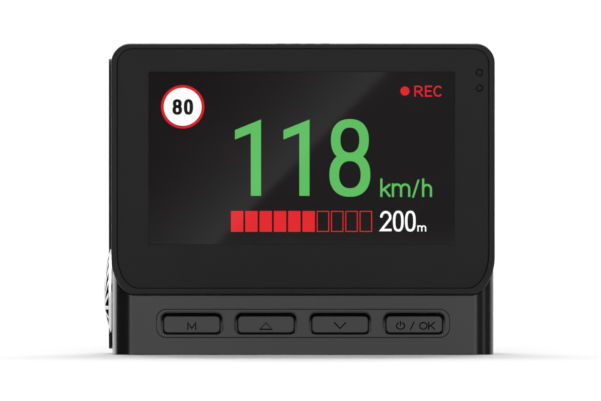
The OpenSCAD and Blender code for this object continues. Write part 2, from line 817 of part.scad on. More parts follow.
module speaker() color("#2b2b2e") translate([speaker_x, inner_rear - 0.35, speaker_rise])
    rotate([90, 0, 0]) rotate_extrude() polygon([
        [0, 1.4], [3, 1.9], [speaker_d / 2 - 2.2, 0.5], [speaker_d / 2 - 1, 1],
        [speaker_d / 2 - 1, 0], [speaker_d / 2, 0], [speaker_d / 2, 1.4],
        [magnet_r, speaker_len - 2.6], [magnet_r, speaker_len], [0, speaker_len]
    ]);

module speaker_grille() color("#1b1b1d") translate([speaker_x, 0, speaker_rise]) difference() {
    along_y(rear_y - 1, rear_y + 0.1) rounded(grille_w - 0.3, grille_h - 0.3, 2.85);
    for (i = [0:slot_n - 1])
        translate([(i - (slot_n - 1) / 2) * (grille_w - 4) / slot_n, 0, 0])
            along_y(rear_y - 2, rear_y + 1) rounded(slot_w, grille_h - 4, slot_w / 2 - 0.02);
}

// Plate on the left side, open towards the front at the knob, with a bush that the knob turns in
module left_side_cover() color("#151517") {
    front = axis_y - cover_lead;
    r = barrel_rise - cover_foot;
    back = axis_y + r;
    difference() {
        union() {
            along_x(cover_face, -half_w) difference() {
                translate([(front + back) / 2, (cover_foot + cover_top) / 2])
                    rounded(back - front, cover_top - cover_foot, 3);
                difference() {
                    translate([axis_y, cover_foot - 1]) square([r + 2, r + 1]);
                    translate([axis_y, axis_z]) circle(r);
                }
            }
            axis_rod(wall_hole_r - 0.1, -half_w - eps, -inner_w);
        }
        axis_rod(bush_r, cover_face - 1, -inner_w + 1);
    }
}

module dome_ball(sink) {
    translate([cover_face - dome_h + dome_ball_r, axis_y, axis_z]) sphere(r = dome_ball_r - sink, $fn = 128);
}

// Domed thumb knob: journal, chamfered rim and a ring of slanted ribs round a plain hub
module tilt_knob() color("silver") {
    rim_x = -frame_w / 2;
    axis_rod(knob_r, rim_x, barrel_x0 - 0.6);
    axis_rod(barrel_r - 0.4, barrel_x0 - 0.6, barrel_x0);
    axis_rod(barrel_r - barrel_wall - 0.1, barrel_x0 - eps, barrel_x0 + 1.4);
    translate([cover_face, axis_y, axis_z]) rotate([0, 90, 0])
        cylinder(r1 = dome_r, r2 = knob_r, h = rim_x - cover_face);
    intersection() {
        dome_ball(rib_h);
        axis_rod(dome_r, cover_face - dome_h - 1, rim_x);
    }
    intersection() {
        dome_ball(0);
        union() {
            axis_rod(dome_hub_r, cover_face - dome_h - 1, rim_x);
            intersection() {
                axis_rod(dome_r - 0.3, cover_face - dome_h - 1, cover_face);
                for (i = [0:rib_n - 1]) translate([cover_face - dome_h - 1, axis_y, axis_z])
                    rotate([i * 360 / rib_n, 0, 0]) translate([0, -rib_slant - rib_w, 0.8])
                        cube([dome_h + 1, rib_w, dome_r]);
            }
        }
    }
}

// Cup that carries the camera, closed by the knob, with a stub axle at its inner end
module barrel_shell() color("#1a1a1c") difference() {
    union() {
        axis_rod(barrel_r, barrel_x0, barrel_x1);
        axis_rod(axle_d / 2, barrel_x1 - eps, clip_x + 1.2);
    }
    axis_rod(barrel_r - barrel_wall, barrel_x0 - 1, barrel_x1 - barrel_wall);
    sight_rod(nose_d / 2 + 0.05, 1, barrel_r + 2);
    difference() {
        axis_rod(axle_d, clip_x, clip_x + 0.6);
        axis_rod(axle_d / 2 - 0.5, clip_x - 1, clip_x + 2);
    }
}

module lens_nose() color("#0e0e10") difference() {
    sight_rod(nose_d / 2, barrel_r - 2.6, nose_reach);
    sight_rod(lens_d / 2 + 0.05, 0, nose_reach + 1);
    translate([lens_x(), axis_y + nose_reach + 0.01, axis_z]) rotate([90, 0, 0])
        cylinder(r1 = nose_d / 2 - 0.7, r2 = lens_d / 2, h = 1.5);
}

module lens_tube() color("#202022") sight_rod(lens_d / 2, 3.5, nose_reach - 2);

module lens_glass() color("#2a2450") intersection() {
    sight_rod(lens_d / 2 - 0.2, nose_reach - 2, nose_reach);
    translate([lens_x(), axis_y + nose_reach - 2 - 4.6, axis_z]) sphere(r = 5.6, $fn = 128);
}

module image_sensor() color("#111111")
    block(lens_x() - 3.2, lens_x() + 3.2, axis_y + 2.4, axis_y + 3.4, axis_z - 2.8, axis_z + 2.8);

module sensor_board() color("darkgreen")
    block(lens_x() - 7, lens_x() + 7, axis_y + 1.4, axis_y + 2.4, axis_z - 8, axis_z + 8);

// Upright bearing plate with a foot on the rear housing's floor
module barrel_bracket() color("gray") difference() {
    union() {
        along_x(bracket_x, bracket_x + bracket_t) {
            translate([axis_y, axis_z]) circle(axle_d / 2 + 2.4);
            translate([axis_y - axle_d / 2 - 2.4, wall]) square([axle_d / 2 + 2.4, axis_z - wall]);
        }
        block(bracket_x, bracket_x + 8.4, split_y + 0.3, axis_y, wall, wall + 1.4);
    }
    axis_rod(axle_d / 2 + run_gap, bracket_x - 1, bracket_x + bracket_t + 1);
    translate([bracket_x + 5.6, split_y + 2.4, wall - 1]) cylinder(r = screw_r + screw_gap, h = 4);
}

module bracket_screws() color("silver") translate([bracket_x + 5.6, split_y + 2.4, wall + 1.4])
    rotate([90, 0, 0]) screw(0, 0, 0, 1.35);

module friction_washer() color("#d8d8d0") difference() {
    axis_rod(axle_d / 2 + 2, barrel_x1 + 0.1, bracket_x - 0.1);
    axis_rod(axle_d / 2 + 0.2, barrel_x1, bracket_x);
}

module axle_clip() color("silver") difference() {
    axis_rod(axle_d / 2 + 1.2, clip_x + 0.05, clip_x + 0.55);
    axis_rod(axle_d / 2 - 0.45, clip_x - 1, clip_x + 1);
    block(clip_x - 1, clip_x + 1, axis_y - 1.2, axis_y + 1.2, axis_z, axis_z + axle_d);
}

module contact_pads() color("gold") for (i = [0:pad_n - 1])
    translate([pad_x(i), top_seat_y, body_top - 0.6]) linear_extrude(0.5) rounded(2, 5, 0.55);

module mount_magnets() color("lightgray") for (side = [-1, 1])
    translate([side * (bore_pitch / 2 + bore_d / 2 + 2.4 + magnet_d / 2), top_seat_y, inner_top - 2.1])
        cylinder(r = magnet_d / 2, h = 2);

front_frame();
face_plate();
display_glass();
lcd_panel();
backlight();
display_tray();
display_flex();
brightness_sensor();
remote_receiver();
front_housing();
rear_housing();
button_frame();
mode_key();
up_key();
down_key();
power_key();
mode_plunger();
up_plunger();
down_plunger();
power_plunger();
key_switches();
key_board();
key_board_screws();
main_board();
main_board_screws();
processor_shield();
supercapacitors();
gps_antenna();
card_socket();
memory_card();
power_socket();
radome_panel();
laser_lens();
laser_sensor();
radar_horn();
radar_board();
radar_shield();
radar_board_spacers();
speaker();
speaker_grille();
left_side_cover();
tilt_knob();
barrel_shell();
lens_nose();
lens_glass();
lens_tube();
image_sensor();
sensor_board();
barrel_bracket();
bracket_screws();
friction_washer();
axle_clip();
contact_pads();
mount_magnets();
housing_screws();
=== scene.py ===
"""Dashboard radar detector with a tilting camera: the dressed part on a plain studio floor."""

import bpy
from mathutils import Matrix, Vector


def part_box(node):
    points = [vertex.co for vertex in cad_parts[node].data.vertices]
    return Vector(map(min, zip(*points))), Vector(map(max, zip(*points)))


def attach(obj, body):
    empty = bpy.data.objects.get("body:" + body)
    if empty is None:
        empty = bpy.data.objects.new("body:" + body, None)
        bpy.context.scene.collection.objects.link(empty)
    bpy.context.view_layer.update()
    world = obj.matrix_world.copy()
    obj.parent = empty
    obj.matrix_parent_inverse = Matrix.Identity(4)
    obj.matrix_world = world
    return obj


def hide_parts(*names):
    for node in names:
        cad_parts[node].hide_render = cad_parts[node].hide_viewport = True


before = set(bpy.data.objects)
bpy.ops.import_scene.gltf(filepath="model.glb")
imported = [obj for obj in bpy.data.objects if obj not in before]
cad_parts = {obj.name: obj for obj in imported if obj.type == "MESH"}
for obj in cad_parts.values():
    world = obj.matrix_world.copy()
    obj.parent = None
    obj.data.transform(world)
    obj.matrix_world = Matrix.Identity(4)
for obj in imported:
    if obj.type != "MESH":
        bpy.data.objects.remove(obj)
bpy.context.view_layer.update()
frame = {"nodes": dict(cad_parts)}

import math

import bmesh
import bpy
from bpy.props import FloatProperty, FloatVectorProperty, IntProperty, PointerProperty
from mathutils import Matrix, Vector

bl_info = {
    "name": "Dashboard Radar Detector",
    "version": (1, 0, 0),
    "blender": (4, 5, 0),
    "location": "View3D > Sidebar > Detector",
    "description": "Finished pieces, materials and studio for a dashboard radar detector",
    "category": "Object",
}

MM = 0.001
TINY = 0.02 * MM     # places nearer than this are one place
MERGE = 0.0005 * MM  # points nearer than this are merged
SHARP = math.radians(30)

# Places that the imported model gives
FRAME_LOW, FRAME_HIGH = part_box("front_frame")
PLATE_LOW, PLATE_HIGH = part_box("face_plate")
GLASS_LOW, GLASS_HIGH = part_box("display_glass")
FRONT_LOW, FRONT_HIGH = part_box("front_housing")
REAR_LOW, REAR_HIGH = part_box("rear_housing")
COVER_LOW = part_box("left_side_cover")[0]
KNOB_LOW, KNOB_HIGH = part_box("tilt_knob")
BARREL_LOW, BARREL_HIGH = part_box("barrel_shell")
NOSE_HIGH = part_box("lens_nose")[1]
SPLIT_Y = REAR_LOW.y
AXIS = Vector((0, (BARREL_LOW.y + BARREL_HIGH.y) / 2, (BARREL_LOW.z + BARREL_HIGH.z) / 2))
GLASS_X = (GLASS_LOW.x + GLASS_HIGH.x) / 2
GLASS_Z = (GLASS_LOW.z + GLASS_HIGH.z) / 2
SLOTS = {node: part.data.materials[0].name.split(".")[0] for node, part in frame["nodes"].items()}

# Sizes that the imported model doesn't name. A front outline's corners are the radius at the top,
# and the width and height at the bottom. The keys are placed on the tilted panel.
FRAME_CORNERS = (4.1 * MM, 5.2 * MM, 8.25 * MM)
PLATE_CORNERS = (3.2 * MM, 4.5 * MM, 7.6 * MM)
PANEL_TILT = math.radians(15)
KEY_RISE = 7.04 * MM
KEY_RECESS = 0.9 * MM
PANEL = Matrix.Translation((0, FRONT_LOW.y, 0)) @ Matrix.Rotation(-PANEL_TILT, 4, "X")
UPRIGHT = Matrix.Rotation(math.pi / 2, 4, "X")
KEYS = {
    "mode_key": "mode_button",
    "up_key": "up_button",
    "down_key": "down_button",
    "power_key": "power_button",
}

# The picture: the way that the camera looks, and the width and middle of what it sees
SIGHT = Vector((0, 1, -0.0126))
PICTURE_WIDTH = 130.48 * MM
PICTURE_MIDDLE = Vector((-0.54 * MM, FRAME_LOW.y, 33.48 * MM))


class DetectorSizes(bpy.types.PropertyGroup):
    """Sizes of the finished pieces"""

    frame_round: FloatProperty(
        name="Frame Edge", description="Rounding of the front frame's outer edge",
        default=0.35 * MM, unit="LENGTH")
    case_round: FloatProperty(
        name="Case Edge", description="Rounding of the housing's outer edges",
        default=0.16 * MM, unit="LENGTH")
    seam_round: FloatProperty(
        name="Seam", description="Rounding of both sides of the seam between the housings",
        default=0.13 * MM, unit="LENGTH")
    key_round: FloatProperty(
        name="Key Edge", description="Rounding of a key's face",
        default=0.3 * MM, unit="LENGTH")
    rib_count: IntProperty(
        name="Knob Ribs", description="Number of slanted ribs on the knob", default=16)
    rib_width: FloatProperty(
        name="Rib Width", description="Width of one rib of the knob",
        default=0.85 * MM, unit="LENGTH")
    rib_slant: FloatProperty(
        name="Rib Slant", description="Distance of a rib's line from the knob's centre",
        default=3.2 * MM, unit="LENGTH")
    reading_lift: FloatProperty(
        name="Reading Lift", description="Height of the lit readings over the glass",
        default=0.02 * MM, unit="LENGTH")
    grain: FloatProperty(
        name="Grain", description="Size of the moulded plastic's fine grain",
        default=0.12 * MM, unit="LENGTH")


class DetectorColours(bpy.types.PropertyGroup):
    """Colours of the finished pieces, as linear values"""

    frame: FloatVectorProperty(
        name="Frame", description="Plastic of the front frame",
        default=(0.0103, 0.0103, 0.0106), subtype="COLOR", size=3)
    plate: FloatVectorProperty(
        name="Face Plate", description="Plastic of the face plate",
        default=(0.0084, 0.0084, 0.0085), subtype="COLOR", size=3)
    case: FloatVectorProperty(
        name="Case", description="Plastic of the housings",
        default=(0.0065, 0.0065, 0.0067), subtype="COLOR", size=3)
    keys: FloatVectorProperty(
        name="Keys", description="Plastic of the keys",
        default=(0.0085, 0.0085, 0.0087), subtype="COLOR", size=3)
    glass: FloatVectorProperty(
        name="Display Glass", description="Glass of the display while dark",
        default=(0.0105, 0.0092, 0.0098), subtype="COLOR", size=3)
    knob: FloatVectorProperty(
        name="Knob", description="Metal of the knob",
        default=(0.6, 0.6, 0.6), subtype="COLOR", size=3)
    speed: FloatVectorProperty(
        name="Speed", description="Lit speed reading",
        default=(0.109, 0.503, 0.113), subtype="COLOR", size=3)
    alert: FloatVectorProperty(
        name="Alert", description="Lit bars, recording mark and ring of the limit sign",
        default=(0.76, 0.0137, 0.0194), subtype="COLOR", size=3)
    white: FloatVectorProperty(
        name="White", description="Lit distance reading and limit sign",
        default=(0.98, 0.98, 0.98), subtype="COLOR", size=3)


def sizes():
    return bpy.context.scene.detector_sizes


def colours():
    return bpy.context.scene.detector_colours


# ---------------------------------------------------------------- materials


def set_inputs(tree, node, inputs):
    """Sets a node's inputs: another node's output is linked, anything else is a plain value"""
    for name, value in inputs.items():
        if isinstance(value, bpy.types.NodeSocket):
            tree.links.new(value, node.inputs[name])
        else:
            node.inputs[name].default_value = value


def add_node(tree, kind, inputs=None, **settings):
    node = tree.nodes.new("ShaderNode" + kind)
    for name, value in settings.items():
        setattr(node, name, value)
    set_inputs(tree, node, inputs or {})
    return node


def new_material(name):
    material = bpy.data.materials.new(name)
    material.use_nodes = True
    return material, material.node_tree, material.node_tree.nodes["Principled BSDF"]


def object_coords(tree, scale=(1, 1, 1), shift=(0, 0, 0)):
    place = add_node(tree, "TexCoord").outputs["Object"]
    mapping = add_node(tree, "Mapping", {"Vector": place, "Scale": scale, "Location": shift})
    return mapping.outputs["Vector"]


def noise(tree, size, detail, along=(1, 1, 1)):
    """Noise with grains of this size, drawn out along an axis whose factor is small"""
    return add_node(tree, "TexNoise", {"Vector": object_coords(tree, along), "Scale": 1 / size,
                                       "Detail": detail}).outputs["Fac"]


def spread(tree, value, middle, share):
    """The middle part of a noise, stretched to a share below and above a middle value"""
    return add_node(tree, "MapRange", {
        "Value": value, "From Min": 0.3, "From Max": 0.7,
        "To Min": middle * (1 - share), "To Max": middle * (1 + share)}).outputs["Result"]


def tones(tree, value, dark, light, low=0.35, high=0.65):
    node = add_node(tree, "ValToRGB", {"Fac": value})
    for stop, place, colour in zip(node.color_ramp.elements, (low, high), (dark, light)):
        stop.position = place
        stop.color = (*colour, 1)
    return node.outputs["Color"]


def shade(colour, factor):
    return tuple(min(1.0, c * factor) for c in colour)


def bump(tree, height, depth, strength):
    return add_node(tree, "Bump", {"Height": height, "Distance": depth,
                                   "Strength": strength}).outputs["Normal"]


def moulded(name, colour, roughness, grain=None, depth=0.004 * MM, specular=0.5, mottle=0.05):
    """Moulded plastic: fine grain, a slight mottle and an uneven gloss"""
    material, tree, shader = new_material(name)
    fine = noise(tree, grain or sizes().grain, 3)
    broad = noise(tree, 7 * MM, 2)
    set_inputs(tree, shader, {
        "Base Color": tones(tree, broad, shade(colour, 1 - mottle), shade(colour, 1 + mottle)),
        "Roughness": spread(tree, fine, roughness, 0.08),
        "Specular IOR Level": specular,
        "Normal": bump(tree, fine, depth, 0.4),
    })
    return material


def metal(name, colour, roughness, along=(1, 1, 1), grain=0.25 * MM, depth=0.002 * MM):
    """Metal with fine lines drawn out along the axis whose factor is small"""
    material, tree, shader = new_material(name)
    lines = noise(tree, grain, 4, along)
    set_inputs(tree, shader, {
        "Base Color": tones(tree, lines, shade(colour, 0.85), shade(colour, 1.08)),
        "Roughness": spread(tree, lines, roughness, 0.2),
        "Metallic": 1.0,
        "Normal": bump(tree, lines, depth, 0.3),
    })
    return material


def turned_metal(name, colour, roughness):
    """Polished metal with faint turning lines round the barrel's axis"""
    material, tree, shader = new_material(name)
    rings = add_node(tree, "TexWave", {"Vector": object_coords(tree, shift=-AXIS), "Scale": 900,
                                       "Distortion": 0.6}, wave_type="RINGS", rings_direction="X")
    fine = noise(tree, 0.4 * MM, 3)
    set_inputs(tree, shader, {
        "Base Color": tones(tree, fine, shade(colour, 0.94), shade(colour, 1.04)),
        "Roughness": spread(tree, rings.outputs["Fac"], roughness, 0.15),
        "Metallic": 1.0,
        "Normal": bump(tree, rings.outputs["Fac"], 0.001 * MM, 0.15),
    })
    return material


def glazed(name, colour, roughness):
    """Smooth glass or lens over a dark ground"""
    material, tree, shader = new_material(name)
    broad = noise(tree, 12 * MM, 1)
    set_inputs(tree, shader, {
        "Base Color": tones(tree, broad, shade(colour, 0.96), shade(colour, 1.04)),
        "Roughness": spread(tree, broad, roughness, 0.1),
    })
    return material


def coated_lens(name):
    """Camera lens with its violet and green coating"""
    material, tree, shader = new_material(name)
    facing = add_node(tree, "LayerWeight", {"Blend": 0.35}).outputs["Facing"]
    set_inputs(tree, shader, {
        "Base Color": tones(tree, facing, (0.035, 0.008, 0.09), (0.01, 0.06, 0.05), 0.05, 0.6),
        "Roughness": spread(tree, noise(tree, 3 * MM, 1), 0.025, 0.2),
        "Coat Weight": 1.0,
        "Coat Roughness": 0.02,
    })
    return material


def lit(name, colour):
    """Lit reading: its own light in fine rows of picture dots, under the smooth glass"""
    material, tree, shader = new_material(name)
    rows = add_node(tree, "TexWave", {"Vector": object_coords(tree), "Scale": 3140},
                    wave_type="BANDS", bands_direction="Z").outputs["Fac"]
    set_inputs(tree, shader, {
        "Emission Color": tones(tree, rows, shade(colour, 0.97), shade(colour, 1.03), 0.2, 0.8),
        "Base Color": (0.004, 0.004, 0.004, 1),
        "Emission Strength": 1.0,
        "Roughness": 0.04,
    })
    return material


def circuit(name, colour):
    """Board lacquer over faint copper tracks"""
    material, tree, shader = new_material(name)
    tracks = add_node(tree, "TexBrick", {
        "Vector": object_coords(tree), "Scale": 260, "Mortar Size": 0.03,
        "Color1": (*shade(colour, 0.8), 1), "Color2": (*colour, 1),
        "Mortar": (*shade(colour, 2.2), 1)})
    set_inputs(tree, shader, {
        "Base Color": tracks.outputs["Color"],
        "Roughness": spread(tree, noise(tree, 0.6 * MM, 3), 0.36, 1 / 6),
        "Normal": bump(tree, tracks.outputs["Fac"], 0.02 * MM, 0.5),
    })
    return material


def make_materials():
    """Every finish of the object, under its slot's name"""
    tint = colours()
    return {
        "frame_plastic": moulded("Frame plastic", tint.frame, 0.42, specular=0.25),
        "plate_plastic": moulded("Face plate plastic", tint.plate, 0.46, specular=0.25),
        "black_glass": glazed("Display glass", tint.glass, 0.03),
        "housing_plastic": moulded("Housing plastic", tint.case, 0.2),
        "key_plastic": moulded("Key plastic", tint.keys, 0.22),
        "cover_plastic": moulded("Side cover plastic", (0.006, 0.006, 0.0063), 0.4, specular=0.2),
        "radome_plastic": moulded("Radome plastic", (0.0085, 0.0085, 0.009), 0.22,
                                  depth=0.002 * MM),
        "laser_plastic": glazed("Laser lens plastic", (0.03, 0.0022, 0.0045), 0.06),
        "knob_metal": turned_metal("Knob metal", tint.knob, 0.2),
        "barrel_plastic": moulded("Camera barrel plastic", (0.011, 0.011, 0.0115), 0.3),
        "lens_plastic": moulded("Lens nose plastic", (0.007, 0.007, 0.0075), 0.25),
        "lens_glass": coated_lens("Lens glass"),
        "sheet_metal": metal("Sheet metal", (0.62, 0.62, 0.6), 0.35, (0.06, 1, 1)),
        "screw_steel": metal("Blackened screw steel", (0.16, 0.16, 0.165), 0.38),
        "board": circuit("Board lacquer", (0.006, 0.045, 0.018)),
        "cell": glazed("Display cell", (0.03, 0.033, 0.04), 0.15),
        "diffuser": moulded("Backlight diffuser", (0.8, 0.8, 0.78), 0.5, mottle=0.02),
        "flex": circuit("Flat cable", (0.3, 0.11, 0.025)),
        "dark_plastic": moulded("Dark plastic", (0.008, 0.008, 0.0085), 0.45, specular=0.25),
        "can_sleeve": glazed("Capacitor sleeve", (0.012, 0.02, 0.035), 0.3),
        "ceramic": moulded("Antenna ceramic", (0.45, 0.3, 0.15), 0.5, 0.3 * MM, mottle=0.12),
        "horn_metal": metal("Cast horn metal", (0.42, 0.4, 0.34), 0.5,
                            grain=0.5 * MM, depth=0.01 * MM),
        "brass": metal("Brass", (0.6, 0.42, 0.16), 0.3),
        "gold": metal("Contact gold", (0.8, 0.55, 0.2), 0.22),
        "washer": moulded("Friction washer", (0.55, 0.55, 0.5), 0.55),
    }


MATERIALS = {}


def finish_of(slot):
    if not MATERIALS:
        MATERIALS.update(make_materials())
    return MATERIALS[slot]


# ---------------------------------------------------------------- modelling


def only(*pieces):
    bpy.ops.object.select_all(action="DESELECT")
    for piece in pieces:
        piece.select_set(True)
    bpy.context.view_layer.objects.active = pieces[0]


def added(primitive, **settings):
    """A new primitive, with nothing else selected"""
    bpy.ops.object.select_all(action="DESELECT")
    primitive(**settings)
    return bpy.context.object


def linked(name, data):
    piece = bpy.data.objects.new(name, data)
    bpy.context.scene.collection.objects.link(piece)
    return piece


def edit(piece):
    only(piece)
    bpy.ops.object.mode_set(mode="EDIT")
    bpy.ops.mesh.select_mode(type="EDGE")


def leave_edit():
    bpy.ops.object.mode_set(mode="OBJECT")


def close_up():
    """In edit mode, merges the doubles of the whole mesh and turns its faces outwards"""
    bpy.ops.mesh.select_all(action="SELECT")
    bpy.ops.mesh.remove_doubles(threshold=MERGE)
    bpy.ops.mesh.normals_make_consistent(inside=False)


def pick_edges(piece, test):
    """In edit mode, selects only the edges that pass the test; says how many"""
    bpy.ops.mesh.select_all(action="DESELECT")
    mesh = bmesh.from_edit_mesh(piece.data)
    picked = [edge for edge in mesh.edges if test(edge)]
    for edge in picked:
        edge.select_set(True)
    bmesh.update_edit_mesh(piece.data)
    return len(picked)


def round_off(piece, place_test, radius, segments):
    """In edit mode, rounds the sharp edges whose middle passes the test"""
    def chosen(edge):
        middle = (edge.verts[0].co + edge.verts[1].co) / 2
        return (len(edge.link_faces) == 2 and edge.calc_face_angle() > SHARP
                and place_test(middle))

    if not pick_edges(piece, chosen):
        raise RuntimeError(f"{piece.name}: no edge to round")
    bpy.ops.mesh.bevel(offset=radius, segments=segments, affect="EDGES", clamp_overlap=True)


def flat_groups(mesh, least):
    """Flat sides larger than the least area, as lists of faces; facets of a curve are left out"""
    side_of, sides = {}, []
    for start in mesh.faces:
        if start in side_of:
            continue
        group = [start]
        side_of[start] = len(sides)
        for face in group:
            for edge in face.edges:
                for other in edge.link_faces:
                    if other not in side_of and face.normal.dot(other.normal) > 0.99999:
                        side_of[other] = len(sides)
                        group.append(other)
        sides.append(group)
    rims = [[] for _ in sides]
    for edge in mesh.edges:
        if len(edge.link_faces) == 2:
            one_side, other_side = (side_of[face] for face in edge.link_faces)
            if one_side != other_side:
                bend = edge.calc_face_angle()
                rims[one_side].append((edge.calc_length(), other_side, bend))
                rims[other_side].append((edge.calc_length(), one_side, bend))
    areas = [sum(face.calc_area() for face in group) for group in sides]
    perimeters = [sum(length for length, _, _ in rim) for rim in rims]
    widths = [2 * area / max(length, 1e-9) for area, length in zip(areas, perimeters)]
    found = []
    for group, rim, area, length in zip(sides, rims, areas, perimeters):
        curved = sum(part for part, side, bend in rim
                     if bend < math.radians(20) and widths[side] > 0.3 * MM)
        if area > least and curved < 0.3 * length:
            found.append([face.index for face in group])
    return found


def smooth(piece, angle=38, flat=20.0):
    """Smooth shading; each flat side over so many mm2 gets a thin margin, so that it stays flat"""
    edit(piece)
    bpy.ops.mesh.select_mode(type="FACE")
    mesh = bmesh.from_edit_mesh(piece.data)
    for group in flat_groups(mesh, flat * MM * MM):
        bpy.ops.mesh.select_all(action="DESELECT")
        mesh = bmesh.from_edit_mesh(piece.data)
        mesh.faces.ensure_lookup_table()
        for index in group:
            mesh.faces[index].select_set(True)
        bmesh.update_edit_mesh(piece.data)
        bpy.ops.mesh.inset(thickness=0.04 * MM)
    leave_edit()
    only(piece)
    bpy.ops.object.shade_smooth_by_angle(angle=math.radians(angle))


def true_rounds(piece, rounds):
    """Gives the facets of each cylinder, as (point, axis, radius), its exact normals"""
    mesh = piece.data
    normals = [(0.0, 0.0, 0.0)] * len(mesh.loops)
    for point, axis, radius in rounds:
        for side in mesh.polygons:
            arms = []
            for index in side.vertices:
                arm = mesh.vertices[index].co - point
                arms.append(arm - axis * arm.dot(axis))
            if all(abs(arm.length - radius) < 0.03 * MM for arm in arms):
                middle = sum(arms, Vector()).normalized()
                if side.normal.dot(middle) > 0.9:
                    for loop, arm in zip(side.loop_indices, arms):
                        normals[loop] = arm.normalized()
    mesh.normals_split_custom_set(normals)


def paint(piece, *materials):
    piece.data.materials.clear()
    for material in materials:
        piece.data.materials.append(material)


def carry(piece, body, node=None):
    """Says what a finished piece rides on, and hides the CAD node that it stands for"""
    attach(piece, body)
    if node:
        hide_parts(node)


def dressed(node, name, body, rounds, cuts=()):
    """A copy of a CAD node with its doubles merged and the named edges rounded; then cuts lays
    edge loops beside the rounded edges, as (place, direction), so that long sides shade evenly"""
    piece = linked(name, frame["nodes"][node].data.copy())
    edit(piece)
    bpy.ops.mesh.select_all(action="SELECT")
    bpy.ops.mesh.remove_doubles(threshold=MERGE)
    bpy.ops.mesh.dissolve_limited(angle_limit=math.radians(0.2))
    for place_test, radius, segments in rounds:
        round_off(piece, place_test, radius, segments)
    for place, way in cuts:
        bpy.ops.mesh.select_all(action="SELECT")
        bpy.ops.mesh.bisect(plane_co=place, plane_no=way)
    leave_edit()
    smooth(piece)
    paint(piece, finish_of(SLOTS[node]))
    carry(piece, body, node)
    return piece


def ringed(name, rings):
    """A closed band of rings with equal point counts, each extruded from the one before it"""
    piece = added(bpy.ops.mesh.primitive_circle_add, vertices=len(rings[0]), fill_type="NOTHING")
    piece.name = name
    edit(piece)
    mesh = bmesh.from_edit_mesh(piece.data)
    mesh.verts.ensure_lookup_table()
    order = list(mesh.verts)
    for vert, point in zip(order, rings[0]):
        vert.co = point
    for ring in rings[1:] + rings[:1]:
        place = {tuple(vert.co): point for vert, point in zip(order, ring)}
        bpy.ops.mesh.extrude_edges_move()
        mesh = bmesh.from_edit_mesh(piece.data)
        fresh = {tuple(vert.co): vert for vert in mesh.verts if vert.select}
        order = [fresh[start] for start in place]
        for start, point in place.items():
            fresh[start].co = point
    bmesh.update_edit_mesh(piece.data)
    close_up()
    leave_edit()
    return piece


def spun(name, profile, steps=128):
    """A profile of (x, radius) points turned about the barrel's axis"""
    mesh = bpy.data.meshes.new(name)
    mesh.from_pydata([(x, AXIS.y, AXIS.z + r) for x, r in profile],
                     [(i, i + 1) for i in range(len(profile) - 1)], [])
    piece = linked(name, mesh)
    edit(piece)
    bpy.ops.mesh.select_all(action="SELECT")
    bpy.ops.mesh.spin(steps=steps, angle=2 * math.pi, center=AXIS, axis=(1, 0, 0))
    close_up()
    leave_edit()
    return piece


def arc(x, y, a, b, start, end, steps):
    """Points of an elliptic arc round (x, y), between two angles in degrees"""
    turns = (math.radians(start + (end - start) * i / steps) for i in range(steps + 1))
    return [(x + a * math.cos(t), y + b * math.sin(t)) for t in turns]


def fascia(low, high, corners, grow, y):
    """Upright ring of points at depth y: the front outline that fills a box, grown on all sides"""
    half, height = (high.x - low.x) / 2 + grow, high.z - low.z + 2 * grow
    top, foot_w, foot_h = (corner + grow for corner in corners)
    right = arc(half - foot_w, foot_h, foot_w, foot_h, -90, 0, 24)
    right += arc(half - top, height - top, top, top, 0, 90, 14)
    left = [(-x, z) for x, z in reversed(right)]
    return [(x, y, low.z - grow + z) for x, z in right + left]


# ---------------------------------------------------------------- flat signs


def oval(x0, x1, z0, z1, power, steps=56):
    """Outline of a rounded figure that fills the box"""
    cx, cz, a, b = (x0 + x1) / 2, (z0 + z1) / 2, (x1 - x0) / 2, (z1 - z0) / 2
    points = []
    for i in range(steps):
        t = 2 * math.pi * i / steps
        c, s = math.cos(t), math.sin(t)
        points.append((cx + a * math.copysign(abs(c) ** (2 / power), c),
                       cz + b * math.copysign(abs(s) ** (2 / power), s)))
    return points


def disc(x, z, r, steps):
    return oval(x - r, x + r, z - r, z + r, 2, steps)


def box_outline(x0, x1, z0, z1):
    return [(x0, z0), (x1, z0), (x1, z1), (x0, z1)]


def stroke(points, width, closed):
    """Outlines of a line of even width, mitred at its corners and square at its ends"""
    half = width / 2
    pts = [Vector(p) for p in points]
    count = len(pts)
    if not closed:
        first, last = (pts[1] - pts[0]).normalized(), (pts[-1] - pts[-2]).normalized()
        pts[0] = pts[0] - first * half
        pts[-1] = pts[-1] + last * half
    left, right = [], []
    for i, p in enumerate(pts):
        ways = []
        if i or closed:
            ways.append((p - pts[i - 1]).normalized())
        if i < count - 1 or closed:
            ways.append((pts[(i + 1) % count] - p).normalized())
        normals = [Vector((-way.y, way.x)) for way in ways]
        side = sum(normals, Vector((0, 0))).normalized()
        reach = half / max(0.45, side.dot(normals[0]))
        left.append(tuple(p + side * reach))
        right.append(tuple(p - side * reach))
    return [left, right] if closed else [left + right[::-1]]


